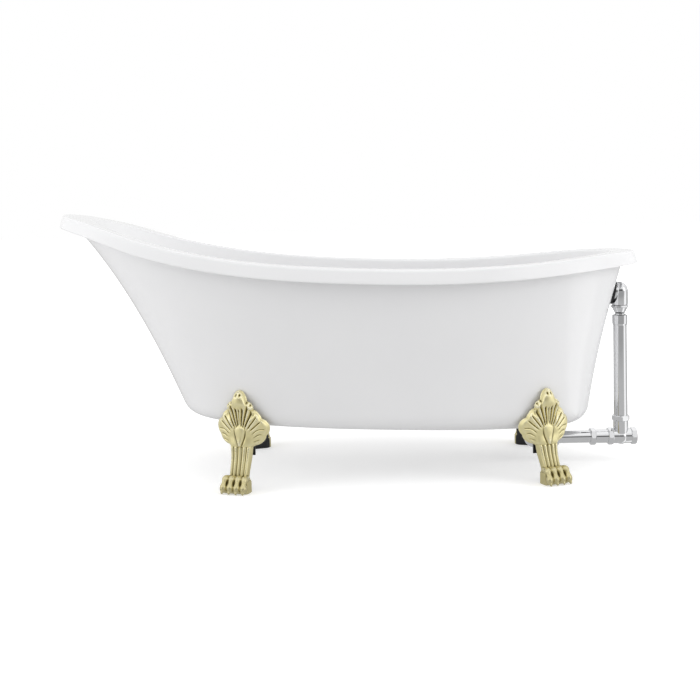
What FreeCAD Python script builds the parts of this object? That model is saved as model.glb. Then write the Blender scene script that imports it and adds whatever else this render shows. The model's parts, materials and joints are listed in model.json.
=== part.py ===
import FreeCAD, Part
import Sketcher
import math
import operator
import os

from FreeCAD import Placement, Rotation, Vector

# Slipper bathtub on four claw feet, with an exposed waste and overflow.
# Lengths are millimetres, angles degrees; +X runs from the high back to the drain end, +Z up.

SIZES = {
    # Tub, overall
    "tub_length": 1600,
    "tub_width": 725,
    "back_height": 741,
    "low_height": 573.3,
    "front_height": 602.2,
    "outlet_overhang": 2,
    # Rim
    "rim_drop": 37,
    "rim_wall": 6,
    "rim_taper": 15,
    "rim_edge_radius": 8,
    "rim_inner_radius": 11,
    # Skins and floor
    "shell_wall": 5,
    "basin_wall": 7,
    "board_thickness": 18,
    "board_margin": 66,
    "shell_floor_height": 153,
    "floor_slope": 2.7,
    "shell_floor_radius": 55,
    "basin_floor_radius": 60,
    "seat_gap": 0.3,
    # Drain in the floor
    "drain_station": 513,
    "drain_recess_radius": 37,
    "drain_recess_depth": 3.5,
    "drain_hole_radius": 23,
    "drain_boss_radius": 39,
    "drain_boss_depth": 11,
    "drain_clear_radius": 42,
    "drain_seal_radius": 33,
    "drain_seal_thickness": 2,
    "drain_lower_gasket_thickness": 4,
    "flange_radius": 35,
    "flange_thickness": 3,
    "flange_lip": 1.5,
    "throat_radius": 22.5,
    "throat_bore_radius": 19,
    "throat_length": 45,
    "cross_bar_width": 4,
    "cross_depth": 36,
    "cross_height": 9,
    "cross_hub_radius": 8,
    # Stopper
    "stopper_radius": 31,
    "stopper_edge": 2,
    "stopper_crown": 5,
    "stopper_seal_radius": 28.5,
    "stopper_seal_width": 4,
    "stopper_seal_height": 2.7,
    "stopper_travel": 10,
    "stem_radius": 4,
    "stem_collar_radius": 6.5,
    "stem_collar_height": 4,
    "running_gap": 0.4,
    # Shoe below the drain
    "shoe_flange_radius": 33,
    "shoe_flange_thickness": 6,
    "shoe_radius": 27,
    "shoe_bore_radius": 18,
    "shoe_socket_radius": 22.8,
    "shoe_reach": 62,
    # Tubes and slip joints
    "waste_axis_height": 70,
    "tube_radius": 19.05,
    "tube_wall": 1.5,
    "drain_tube_radius": 17.5,
    "slip_gap": 0.15,
    "spigot_wall": 1.7,
    "socket_depth": 25,
    "nut_corner_radius": 25,
    "nut_length": 15,
    "nut_end_wall": 3,
    "nut_chamfer": 3,
    "washer_length": 4,
    "stop_radius": 15.5,
    # Overflow column
    "overflow_height": 479,
    "tee_left_reach": 31,
    "tee_right_reach": 35,
    "tee_branch_reach": 53,
    "tee_belly_radius": 23,
    "coupling_reach": 88,
    "tube_top_height": 415,
    "bell_radius": 21.4,
    "bell_length": 24,
    "bell_taper": 5,
    "elbow_nut_height": 443,
    "elbow_nut_flange": 7,
    "elbow_nut_cone_end": 420,
    "elbow_neck_radius": 13.5,
    "elbow_neck_bore_radius": 11,
    "elbow_neck_end": 403,
    "tube_seal_height": 5,
    # Overflow elbow and plate
    "elbow_tilt": 11,
    "elbow_ball_radius": 26,
    "elbow_outlet_radius": 19,
    "elbow_bore_radius": 15,
    "elbow_shoulder_radius": 25,
    "elbow_shoulder_thickness": 6,
    "elbow_shoulder_station": 18,
    "elbow_thread_radius": 19.5,
    "elbow_thread_end": 72,
    "elbow_bridge_width": 9,
    "elbow_bridge_depth": 7,
    "overflow_hole_radius": 20.3,
    "outer_gasket_radius": 37,
    "outer_gasket_face_radius": 30,
    "outer_gasket_bevel": 1.5,
    "gasket_reach": 30,
    "inner_gasket_radius": 33,
    "plate_radius": 36,
    "plate_thickness": 4,
    "plate_crown": 3,
    "plate_station": 76,
    "plate_slot_length": 14,
    "plate_slot_width": 4,
    "plate_slot_start": 12,
    "overflow_screw_radius": 3,
    "overflow_screw_head_radius": 7,
    "overflow_screw_head": 3,
    # Claw foot
    "foot_back_height": 264,
    "foot_front_height": 247,
    "foot_back_station": 288,
    "foot_front_station": 514,
    "foot_back_offset": 219,
    "foot_front_offset": 191,
    "foot_back_turn": 18,
    "foot_front_turn": 22,
    "palmette_base": 114,
    "palmette_half_width": 78,
    "palmette_plan_radius": 120,
    "palmette_bulge": 6,
    "palmette_top_reach": 16,
    "palmette_base_reach": 12,
    "palmette_back": 9,
    "palmette_wall": 8,
    "rib_root_radius": 3.5,
    "rib_tip_radius": 7,
    "rib_root_spread": 7,
    "drop_radius": 14,
    "drop_tip_radius": 3,
    "drop_rise": 42,
    "leg_back": 10,
    "leg_top_width": 62,
    "leg_foot_width": 53,
    "leg_depth": 27,
    "leg_seat_depth": 3,
    "leg_lean": 20,
    "leg_flute": 2.5,
    "paw_start": 16,
    "paw_half_width": 37,
    "paw_front": 62,
    "paw_height": 30,
    "paw_edge_radius": 4,
    "toe_radius": 8.8,
    "toe_pitch": 18.5,
    "toe_fan": 4,
    "toe_back": 34,
    "toe_front": 64,
    "toe_back_height": 33,
    "toe_front_height": 13,
    "knuckle_radius": 9.8,
    "knuckle_reach": 54,
    "knuckle_height": 31,
    "claw_radius": 6,
    "claw_tip_radius": 1.5,
    "claw_reach": 74,
    "claw_height": 12,
    "claw_drop": 9,
    # Bracket, bolts and levellers
    "bracket_width": 60,
    "bracket_thickness": 5,
    "bracket_reach": 132,
    "bracket_trim": 8,
    "bracket_foot_height": 88,
    "bracket_bend_radius": 6,
    "bolt_height": 108,
    "bolt_radius": 5,
    "bolt_gap": 0.25,
    "bolt_depth": 20,
    "bolt_head_radius": 9.2,
    "bolt_head_height": 6.4,
    "foot_washer_radius": 10.5,
    "foot_washer_thickness": 2,
    "screw_radius": 3,
    "screw_head_radius": 6,
    "screw_head_height": 4,
    "screw_depth": 13,
    "screw_reach": 98,
    "screw_spread": 18,
    "leveller_reach": 32,
    "leveller_pad_radius": 12,
    "leveller_pad_height": 4,
    "leveller_stud_radius": 5,
    "leveller_stud_length": 34,
    "leveller_recess": 0.5,
}

PLAN_EXPONENT = 2.5
PLAN_POINTS = 32
PLAN_START_SHARE = 0.25
PLAN_EGG_SHARE = 0.05

# Skins: heights are shares of the back height, reaches are shares of half the length and width
SHELL_BASE_SHARES = (0.575, 0.820, 0.660)
SHELL_SIDE_SHARES = (
    (0.413, 0.646, 0.861, 0.733),
    (0.660, 0.760, 0.918, 0.847),
    (1.018, 1.004, 1.015, 0.964),
)
CAVITY_BASE_SHARES = (0.499, 0.766, 0.530)
CAVITY_SIDE_SHARES = (
    (0.413, 0.580, 0.803, 0.620),
    (0.660, 0.695, 0.861, 0.739),
    (1.018, 0.927, 0.958, 0.865),
)
# Sheer line: station as a share of half the length, rise as a share of that end's rise
SHEER_SHARES = (
    (-1.00, 1.000), (-0.85, 0.813), (-0.70, 0.567), (-0.55, 0.375), (-0.40, 0.236),
    (-0.20, 0.116), (0.06, 0.033), (0.32, 0.000), (0.46, 0.050), (0.62, 0.253),
    (0.78, 0.626), (0.92, 0.910), (1.00, 1.000),
)
SHEER_LOW_SHARE = 0.32
RIM_LOFT_SHARES = (0.66, 1.05)
CUT_WIDTH_SHARE = 1.3
CUT_LENGTH_SHARE = 0.56
BAND_FLOOR_SHARE = 0.1

# Palmette lobes, half side: start valley, tip and end valley as shares of half width and height
LOBE_SHARES = (
    ((0.24, 0.800), (0.46, 0.765), (0.50, 0.665)),
    ((0.50, 0.665), (0.68, 0.605), (0.76, 0.500)),
    ((0.76, 0.500), (1.00, 0.370), (0.90, 0.190)),
    ((0.90, 0.190), (0.78, 0.080), (0.50, 0.020)),
)
LOBE_CROWN_SHARE = 1.0
LOBE_FOOT_SHARE = 0.40
HOLLOW_SHARE = 0.78
HOLLOW_LIFT_SHARE = 0.12
RIB_TIP_SHARES = (
    (0.00, 0.905), (0.16, 0.735), (0.40, 0.710), (0.59, 0.590), (0.76, 0.450), (0.90, 0.330),
    (0.82, 0.195), (0.64, 0.105),
)
DROP_SINK_SHARE = 0.55
RIB_SINK_SHARE = 0.35
TOE_PLACES = (-1.5, -0.5, 0.5, 1.5)
FLUTE_COUNT = 5
NUT_SIDES = 8
PLATE_SLOT_COUNT = 8
BELT_TURN = 110
BELT_SHARES = (-0.04, 0.16, 0.34, 0.5, 0.66, 0.84, 1.02)
DOME_SHARES = ((1.0, 0.0), (0.93, 0.37), (0.80, 0.60), (0.60, 0.80), (0.35, 0.937), (0.0, 1.0))
FRONT_ROUND_SHARE = 0.22
PAW_SHARES = ((0.0, 0.70), (0.30, 1.0), (0.86, 0.97), (1.0, 0.78))
TOE_ROOT_SHARE = 0.90
# Leg sections upward: share of the way from the paw's middle to the palmette, lean, back's lean
LEG_SHARES = (
    (0.00, 1.25, 1.25), (0.24, 1.00, 1.00), (0.44, 0.66, 0.50), (0.62, 0.34, 0.08),
    (0.80, 0.12, 0.00), (1.00, 0.00, 0.00),
)
ROD_SHARE = 0.94

OPERATIONS = {
    "+": operator.add,
    "-": operator.sub,
    "*": operator.mul,
    "/": operator.truediv,
}


class Size:
    """A length that keeps its value beside the formula that ties it to the sheet."""

    def __init__(self, value, formula):
        self.value = value
        self.formula = formula

    def joined(self, sign, other):
        other = as_size(other)
        value = OPERATIONS[sign](self.value, other.value)
        return Size(value, f"({self.formula} {sign} {other.formula})")

    def __add__(self, other):
        return self.joined("+", other)

    def __sub__(self, other):
        return self.joined("-", other)

    def __mul__(self, other):
        return self.joined("*", other)

    def __truediv__(self, other):
        return self.joined("/", other)

    def __neg__(self):
        return Size(-self.value, f"(0 - {self.formula})")


def as_size(number):
    """A plain number as a Size."""
    if isinstance(number, Size):
        return number
    return Size(number, f"({number})")


def tangent(angle):
    """Tangent of an angle in degrees held on the sheet."""
    return Size(math.tan(math.radians(angle.value)), f"tan({angle.formula} * 1 deg)")


class Sheet:
    """Sheet cells by alias."""

    def __getattr__(self, name):
        return Size(SIZES[name], f"dims.{name}")


doc = FreeCAD.newDocument("slipper_bathtub")
cells = doc.addObject("Spreadsheet::Sheet", "dims")
for row, (alias, number) in enumerate(SIZES.items(), 1):
    cells.set(f"A{row}", alias.replace("_", " "))
    cells.set(f"B{row}", str(number))
    cells.setAlias(f"B{row}", alias)
doc.recompute()

dims = Sheet()
ZERO = Size(0, "0")
UP = Vector(0, 0, 1)
ALONG = Rotation(Vector(0, 1, 0), 90)
AGAINST = Rotation(Vector(0, 1, 0), -90)
DOWN = Rotation(Vector(1, 0, 0), 180)
MIDDLE = dims.outlet_overhang / -2
HALF_LENGTH = dims.tub_length / 2
HALF_WIDTH = dims.tub_width / 2
SLOPE = tangent(dims.floor_slope)
finished = []


def bind(item, path, size):
    """Tie one property to the sheet."""
    item.setExpression(path, size.formula)


def place(item, x=ZERO, y=ZERO, z=ZERO, turn=None):
    """Put an object at a point given in sheet sizes."""
    item.Placement = Placement(Vector(x.value, y.value, z.value), turn or Rotation())
    for axis, size in zip("xyz", (x, y, z)):
        bind(item, f"Placement.Base.{axis}", size)
    return item


def finish(item, label):
    """Name an object as a finished sub-part."""
    item.Label = label
    finished.append(item)
    return item


def primitive(kind, name, **sizes):
    """A Part primitive whose properties follow the sheet."""
    item = doc.addObject(f"Part::{kind}", name)
    for path, size in sizes.items():
        setattr(item, path, size.value)
        bind(item, path, size)
    return item


def cylinder(name, radius, height):
    return primitive("Cylinder", name, Radius=radius, Height=height)


def box(name, length, width, height):
    return primitive("Box", name, Length=length, Width=width, Height=height)


def fuse(name, *items):
    item = doc.addObject("Part::MultiFuse", name)
    item.Shapes = list(items)
    return item


def cut(name, base, tool):
    item = doc.addObject("Part::Cut", name)
    item.Base = base
    item.Tool = tool
    return item


def common(name, base, tool):
    item = doc.addObject("Part::Common", name)
    item.Base = base
    item.Tool = tool
    return item


def group(name, *items):
    item = doc.addObject("Part::Compound", name)
    item.Links = list(items)
    return item


def mirrored(name, item):
    """The same piece on the other side of the tub."""
    twin = doc.addObject("Part::Mirroring", name)
    twin.Source = item
    twin.Normal = Vector(0, 1, 0)
    return twin


def copy(name, item, seat):
    """A linked copy of an object, seated somewhere else."""
    link = doc.addObject("App::Link", name)
    link.LinkedObject = item
    link.Placement = seat
    return link


def fixed(name, shape):
    """A shape that no sketch or primitive draws, held as it is."""
    item = doc.addObject("Part::Feature", name)
    item.Shape = shape
    return item


def hold(sketch, kind, line, end, size):
    """Hold one coordinate of a sketch point at a signed size."""
    axis = -2 if kind == "DistanceX" else -1
    if abs(size.value) < 1e-9:
        sketch.addConstraint(Sketcher.Constraint("PointOnObject", line, end, axis))
        return
    if size.value > 0:
        rule = Sketcher.Constraint(kind, -1, 1, line, end, size.value)
        formula = size.formula
    else:
        rule = Sketcher.Constraint(kind, line, end, -1, 1, -size.value)
        formula = (-size).formula
    index = sketch.addConstraint(rule)
    sketch.setExpression(f"Constraints[{index}]", formula)


def draw(sketch, points):
    """Closed outline of straight lines through points given in sheet sizes."""
    count = len(points)
    for index, (x, y) in enumerate(points):
        next_x, next_y = points[(index + 1) % count]
        start = Vector(x.value, y.value, 0)
        end = Vector(next_x.value, next_y.value, 0)
        sketch.addGeometry(Part.LineSegment(start, end), False)
    for index in range(count):
        follower = (index + 1) % count
        sketch.addConstraint(Sketcher.Constraint("Coincident", index, 2, follower, 1))
    for index, (x, y) in enumerate(points):
        hold(sketch, "DistanceX", index, 1, x)
        hold(sketch, "DistanceY", index, 1, y)


def body_sketch(body, name, role):
    """Sketch attached to one of a body's own origin planes."""
    planes = {plane.Role: plane for plane in body.Origin.OriginFeatures}
    sketch = body.newObject("Sketcher::SketchObject", name)
    sketch.AttachmentSupport = [(planes[role], "")]
    sketch.MapMode = "FlatFace"
    return sketch


def turned(name, points, angle=360):
    """Body turned about Z from an outline of (radius, height) points."""
    body = doc.addObject("PartDesign::Body", name)
    sketch = body_sketch(body, f"{name}_profile", "XZ_Plane")
    draw(sketch, points)
    turn = body.newObject("PartDesign::Revolution", f"{name}_turn")
    turn.Profile = sketch
    turn.ReferenceAxis = (sketch, ["V_Axis"])
    turn.Angle = angle
    turn.Midplane = angle < 360
    sketch.Visibility = False
    body.Tip = turn
    return body


def padded(name, points, depth, role="XY_Plane", midplane=False):
    """Body padded from an outline drawn on one of its origin planes."""
    body = doc.addObject("PartDesign::Body", name)
    sketch = body_sketch(body, f"{name}_outline", role)
    draw(sketch, points)
    pad = body.newObject("PartDesign::Pad", f"{name}_pad")
    pad.Profile = sketch
    pad.Length = depth.value
    pad.Midplane = midplane
    bind(pad, "Length", depth)
    sketch.Visibility = False
    body.Tip = pad
    return body


def ring(name, inner, outer, low, high):
    """Plain turned ring."""
    return turned(name, [(inner, low), (outer, low), (outer, high), (inner, high)])


def plan_curve(name, back, front, half_width, seat):
    """Closed superellipse in plan, |x/a|^n + |y/b|^n = 1, a little fuller at the back."""
    middle = (front.value + back.value) / 2
    reach = (front.value - back.value) / 2
    power = 2 / PLAN_EXPONENT
    points = []
    for step in range(PLAN_POINTS):
        angle = 2 * math.pi * (step / PLAN_POINTS + PLAN_START_SHARE)
        along = math.copysign(abs(math.cos(angle)) ** power, math.cos(angle))
        across = math.copysign(abs(math.sin(angle)) ** power, math.sin(angle))
        across *= half_width.value * (1 - PLAN_EGG_SHARE * along)
        points.append(Vector(middle + reach * along, across, 0))
    curve = Part.BSplineCurve()
    curve.interpolate(Points=points, PeriodicFlag=True)
    item = fixed(name, Part.Wire([curve.toShape()]))
    item.Placement = seat
    return item


def loft(name, sections, ruled=False):
    item = doc.addObject("Part::Loft", name)
    item.Sections = sections
    item.Solid = True
    item.Ruled = ruled
    return item


def floor_seat(lift):
    """Plane parallel to the sloping underside, lifted off it along its own normal."""
    base = Placement(
        Vector(MIDDLE.value, 0, dims.shell_floor_height.value),
        Rotation(Vector(0, 1, 0), dims.floor_slope.value),
    )
    return base * Placement(Vector(0, 0, lift.value), Rotation())


def level_seat(height):
    return Placement(Vector(MIDDLE.value, 0, height.value), Rotation())


def round_floor(name, base, radius):
    """Round the bottom edge of a lofted form."""
    doc.recompute()
    edges = base.Shape.Edges
    lowest = min(range(len(edges)), key=lambda index: edges[index].CenterOfMass.z)
    item = doc.addObject("Part::Fillet", name)
    item.Base = base
    item.Edges = [(lowest + 1, radius.value, radius.value)]
    return item


def skin_form(name, base_shares, side_shares, lift, grow, radius):
    """Closed tub form lofted from its floor outline up to above the rim."""
    back, front, width = base_shares
    sections = [
        plan_curve(
            f"{name}_floor",
            -(HALF_LENGTH * back + grow),
            HALF_LENGTH * front + grow,
            HALF_WIDTH * width + grow,
            floor_seat(lift),
        )
    ]
    for index, (height, back, front, width) in enumerate(side_shares, 1):
        sections.append(
            plan_curve(
                f"{name}_side_{index}",
                -(HALF_LENGTH * back + grow),
                HALF_LENGTH * front + grow,
                HALF_WIDTH * width + grow,
                level_seat(dims.back_height * height),
            )
        )
    return round_floor(f"{name}_form", loft(f"{name}_loft", sections), radius)


def sheer_edge(drop):
    """Rim line from the back tip to the drain end, lowered by a drop."""
    points = []
    for station, rise in SHEER_SHARES:
        end = dims.back_height if station < SHEER_LOW_SHARE else dims.front_height
        height = dims.low_height + (end - dims.low_height) * rise - drop
        points.append(Vector((MIDDLE + HALF_LENGTH * station).value, 0, height.value))
    curve = Part.BSplineCurve()
    curve.interpolate(points)
    return curve.toShape()


def under_sheer(name, drop, floor_drop=None):
    """Everything under the rim line less a drop, or a band of it down to a second drop."""
    top = sheer_edge(drop)
    reach = (dims.tub_length * CUT_LENGTH_SHARE).value
    first = top.Vertexes[0].Point
    last = top.Vertexes[1].Point
    left = Vector(MIDDLE.value - reach, 0, first.z)
    right = Vector(MIDDLE.value + reach, 0, last.z)
    edges = [Part.makeLine(left, first), top, Part.makeLine(last, right)]
    if floor_drop is None:
        low = (dims.back_height * BAND_FLOOR_SHARE).value
        corners = [right, Vector(right.x, 0, low), Vector(left.x, 0, low), left]
        edges += [Part.makeLine(a, b) for a, b in zip(corners, corners[1:])]
    else:
        lower = sheer_edge(floor_drop)
        low_first = lower.Vertexes[0].Point
        low_last = lower.Vertexes[1].Point
        low_left = Vector(left.x, 0, low_first.z)
        low_right = Vector(right.x, 0, low_last.z)
        edges += [
            Part.makeLine(right, low_right),
            Part.makeLine(low_right, low_last),
            lower,
            Part.makeLine(low_first, low_left),
            Part.makeLine(low_left, left),
        ]
    outline = fixed(f"{name}_outline", Part.Face(Part.Wire(Part.__sortEdges__(edges))))
    item = doc.addObject("Part::Extrusion", name)
    item.Base = outline
    item.DirMode = "Custom"
    item.Dir = Vector(0, 1, 0)
    item.Symmetric = True
    item.Solid = True
    width = dims.tub_width * CUT_WIDTH_SHARE
    item.LengthFwd = width.value
    bind(item, "LengthFwd", width)
    return item


def rim_block(name, inset):
    """Tapering block with the rim's plan; the sheer band is cut from it."""
    taper = tangent(dims.rim_taper)
    sections = []
    for index, share in enumerate(RIM_LOFT_SHARES):
        height = dims.back_height * share
        back_lift = (height - dims.back_height + dims.rim_drop) * taper
        front_lift = (height - dims.front_height + dims.rim_drop) * taper
        side_lift = (height - dims.low_height + dims.rim_drop) * taper
        sections.append(
            plan_curve(
                f"{name}_plan_{index}",
                -(HALF_LENGTH - inset - back_lift),
                HALF_LENGTH - inset - front_lift,
                HALF_WIDTH - inset - side_lift,
                level_seat(height),
            )
        )
    return loft(name, sections, ruled=True)


def underside_height(station):
    """Height of the shell's underside at a station along the tub."""
    return dims.shell_floor_height - station * SLOPE


# Tub skins

shell_form = skin_form(
    "shell", SHELL_BASE_SHARES, SHELL_SIDE_SHARES, ZERO, ZERO, dims.shell_floor_radius
)
shell_clear = skin_form(
    "shell_clear",
    SHELL_BASE_SHARES,
    SHELL_SIDE_SHARES,
    -dims.seat_gap,
    dims.seat_gap,
    dims.shell_floor_radius,
)
shell_inside = skin_form(
    "shell_inside",
    SHELL_BASE_SHARES,
    SHELL_SIDE_SHARES,
    dims.shell_wall,
    -dims.shell_wall,
    dims.shell_floor_radius - dims.shell_wall,
)
basin_lift = dims.shell_wall + dims.board_thickness
cavity_form = skin_form(
    "cavity",
    CAVITY_BASE_SHARES,
    CAVITY_SIDE_SHARES,
    basin_lift + dims.basin_wall,
    ZERO,
    dims.basin_floor_radius,
)
basin_outside = skin_form(
    "basin_outside",
    CAVITY_BASE_SHARES,
    CAVITY_SIDE_SHARES,
    basin_lift,
    dims.basin_wall,
    dims.basin_floor_radius + dims.basin_wall,
)

rim_band = under_sheer("rim_band", ZERO, dims.rim_drop)
rim_solid = common("rim_solid", rim_block("rim_outside", ZERO), rim_band)
below_plate = under_sheer("below_plate", dims.rim_wall)
rim_hollow = common("rim_hollow", rim_block("rim_inside", dims.rim_wall), below_plate)
rim = cut("rim", rim_solid, rim_hollow)
basin_bowl = common("basin_bowl", basin_outside, under_sheer("below_sheer", dims.rim_wall / 2))
basin_blank = fuse("basin_blank", rim, basin_bowl)
basin_open = cut("basin_open", basin_blank, cavity_form)
doc.recompute()

sheer_line = sheer_edge(ZERO)
rim_edges = []
for index, edge in enumerate(basin_open.Shape.Edges, 1):
    low, high = edge.ParameterRange
    samples = [edge.valueAt(low + (high - low) * share) for share in (0.1, 0.37, 0.63, 0.9)]
    flat = [Part.Vertex(Vector(point.x, 0, point.z)) for point in samples]
    if max(vertex.distToShape(sheer_line)[0] for vertex in flat) < dims.seat_gap.value:
        rim_edges.append((edge.Length, index))
longest = max(rim_edges)
rim_fillets = []
for length, index in rim_edges:
    outer = (length, index) == longest
    radius = dims.rim_edge_radius if outer else dims.rim_inner_radius
    rim_fillets.append((index, radius.value, radius.value))
basin_soft = doc.addObject("Part::Fillet", "basin_soft")
basin_soft.Base = basin_open
basin_soft.Edges = rim_fillets

# Stations shared by the floor, the overflow and the waste run

slip_length = dims.nut_end_wall + dims.washer_length
overflow_x = HALF_LENGTH + dims.outlet_overhang - slip_length - dims.tee_right_reach + MIDDLE
drain_x = dims.drain_station + MIDDLE
drain_seat = (
    underside_height(dims.drain_station) + basin_lift + dims.basin_wall - dims.drain_recess_depth
)
inward = Rotation(Vector(0, 1, 0), dims.elbow_tilt.value - 90)


def at_drain(item, lift=ZERO):
    return place(item, drain_x, ZERO, drain_seat + lift)


def at_overflow(item):
    """Seat a part on the overflow axis; its heights run from the elbow's ball into the tub."""
    return place(item, overflow_x, ZERO, dims.overflow_height, inward)


overflow_hole = at_overflow(
    cylinder("overflow_hole", dims.overflow_hole_radius, dims.plate_station + dims.gasket_reach)
)

# Feet stations; the soles lie at zero, and the shorter front feet share the palmette of the back ones


def foot_seat(end, side):
    """Seat of one foot: end -1 at the back, 1 at the drain; side 1 or -1 across the tub."""
    if end < 0:
        along = MIDDLE - dims.foot_back_station
        offset = dims.foot_back_offset
        turn = dims.foot_back_turn
    else:
        along = MIDDLE + dims.foot_front_station
        offset = dims.foot_front_offset
        turn = dims.foot_front_turn
    heading = math.radians(turn.value)
    angle = math.degrees(math.atan2(side * math.cos(heading), end * math.sin(heading)))
    return Placement(
        Vector(along.value, side * offset.value, -SOLES[end].value), Rotation(UP, angle)
    )


SOLES = {-1: ZERO, 1: dims.foot_back_height - dims.foot_front_height}
CORNERS = {
    "back_left": (-1, 1),
    "back_right": (-1, -1),
    "front_left": (1, 1),
    "front_right": (1, -1),
}
SEATS = {corner: foot_seat(*ends) for corner, ends in CORNERS.items()}


def plate_height(end):
    """Underside of a bracket's plate at one end of the tub, in its foot's own heights."""
    station = dims.foot_front_station if end > 0 else -dims.foot_back_station
    return underside_height(station) - dims.bracket_thickness + SOLES[end]


# Bracket screws, and the holes that they need in the shell and the board

screw_length = dims.bracket_thickness + dims.shell_wall + dims.screw_depth
screw = turned(
    "screw",
    [
        (ZERO, -dims.screw_head_height),
        (dims.screw_head_radius, -dims.screw_head_height),
        (dims.screw_head_radius, ZERO),
        (dims.screw_radius, ZERO),
        (dims.screw_radius, screw_length),
        (ZERO, screw_length + dims.screw_radius / 2),
    ],
)
screw_hole = cylinder(
    "screw_hole", dims.screw_radius + dims.bolt_gap, screw_length + dims.screw_radius
)
screws = []
screw_holes = []
for corner, (end, side) in CORNERS.items():
    for hand in (-1, 1):
        spread = hand * dims.screw_spread.value
        local = Vector(-dims.screw_reach.value, spread, plate_height(end).value)
        seat = SEATS[corner] * Placement(local, Rotation())
        mark = "a" if hand < 0 else "b"
        screws.append(copy(f"screw_{corner}_{mark}", screw, seat))
        screw_holes.append(copy(f"screw_hole_{corner}_{mark}", screw_hole, seat))
screw_room = group("screw_room", *screw_holes)

# Outer shell, board and basin

drain_room = place(
    cylinder("drain_room", dims.drain_clear_radius, dims.back_height), drain_x
)
shell_skin = cut("shell_skin", shell_form, shell_inside)
shell_band = under_sheer("below_shell_top", dims.rim_wall + dims.seat_gap)
shell_cut = common("shell_cut", shell_skin, shell_band)
shell_tools = group("shell_tools", overflow_hole, drain_room, screw_room)
finish(cut("outer_shell", shell_cut, shell_tools), "outer_shell")

board_back, board_front, board_side = SHELL_BASE_SHARES
board_sections = [
    plan_curve(
        f"board_plan_{index}",
        -(HALF_LENGTH * board_back - dims.board_margin),
        HALF_LENGTH * board_front - dims.board_margin,
        HALF_WIDTH * board_side - dims.board_margin,
        floor_seat(lift),
    )
    for index, lift in enumerate((dims.shell_wall, basin_lift))
]
board_blank = loft("board_blank", board_sections, ruled=True)
board_tools = group("board_tools", drain_room, screw_room)
finish(cut("base_board", board_blank, board_tools), "base_board")

drain_boss = at_drain(
    cylinder("drain_boss", dims.drain_boss_radius, dims.drain_boss_depth), -dims.drain_boss_depth
)
drain_cutter = at_drain(
    turned(
        "drain_cutter",
        [
            (ZERO, -dims.throat_length),
            (dims.drain_hole_radius, -dims.throat_length),
            (dims.drain_hole_radius, ZERO),
            (dims.drain_recess_radius, ZERO),
            (dims.drain_recess_radius, dims.throat_length),
            (ZERO, dims.throat_length),
        ],
    )
)
basin_boss = fuse("basin_boss", basin_soft, drain_boss)
basin_tools = group("basin_tools", overflow_hole, drain_cutter)
finish(cut("basin", basin_boss, basin_tools), "basin")

# Drain: seals, strainer flange and stopper, heights from the recess in the basin floor

finish(
    at_drain(
        ring(
            "drain_seal",
            dims.drain_hole_radius,
            dims.drain_seal_radius,
            ZERO,
            dims.drain_seal_thickness,
        )
    ),
    "drain_seal",
)
flange_top = dims.drain_seal_thickness + dims.flange_thickness
flange_ring = at_drain(
    turned(
        "flange_ring",
        [
            (dims.throat_bore_radius, -dims.throat_length),
            (dims.throat_radius, -dims.throat_length),
            (dims.throat_radius, dims.drain_seal_thickness),
            (dims.flange_radius, dims.drain_seal_thickness),
            (dims.flange_radius, flange_top - dims.flange_lip),
            (dims.flange_radius - dims.flange_lip, flange_top),
            (dims.throat_bore_radius + dims.flange_lip, flange_top),
            (dims.throat_bore_radius, flange_top - dims.flange_lip),
        ],
    )
)
bar_length = dims.throat_bore_radius + dims.throat_radius
bars = []
for index, (length, width) in enumerate(
    ((bar_length, dims.cross_bar_width), (dims.cross_bar_width, bar_length))
):
    bar = box(f"cross_bar_{index}", length, width, dims.cross_height)
    place(bar, drain_x - length / 2, -(width / 2), drain_seat - dims.cross_depth)
    bars.append(bar)
hub = at_drain(cylinder("cross_hub", dims.cross_hub_radius, dims.cross_height), -dims.cross_depth)
hub_bore = at_drain(
    cylinder("hub_bore", dims.stem_radius + dims.running_gap, dims.throat_length),
    -dims.throat_length,
)
flange_blank = fuse("flange_blank", flange_ring, hub, *bars)
finish(cut("drain_flange", flange_blank, hub_bore), "drain_flange")

cap_base = flange_top + dims.running_gap + dims.stopper_seal_height
collar_top = -(dims.cross_depth + dims.stopper_travel + dims.running_gap)
finish(
    at_drain(
        turned(
            "stopper_stem",
            [
                (ZERO, collar_top - dims.stem_collar_height),
                (dims.stem_collar_radius, collar_top - dims.stem_collar_height),
                (dims.stem_collar_radius, collar_top),
                (dims.stem_radius, collar_top),
                (dims.stem_radius, cap_base),
                (ZERO, cap_base),
            ],
        )
    ),
    "stopper_stem",
)
dome = [
    (dims.stopper_radius * radius, cap_base + dims.stopper_edge + dims.stopper_crown * rise)
    for radius, rise in DOME_SHARES
]
finish(
    at_drain(
        turned(
            "stopper_cap",
            [(ZERO, cap_base), (dims.stopper_radius - dims.stopper_edge, cap_base)] + dome,
        )
    ),
    "stopper_cap",
)
finish(
    at_drain(
        ring(
            "stopper_seal",
            dims.stopper_seal_radius - dims.stopper_seal_width,
            dims.stopper_seal_radius,
            flange_top + dims.running_gap,
            cap_base,
        )
    ),
    "stopper_seal",
)

# Drain shoe

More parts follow.
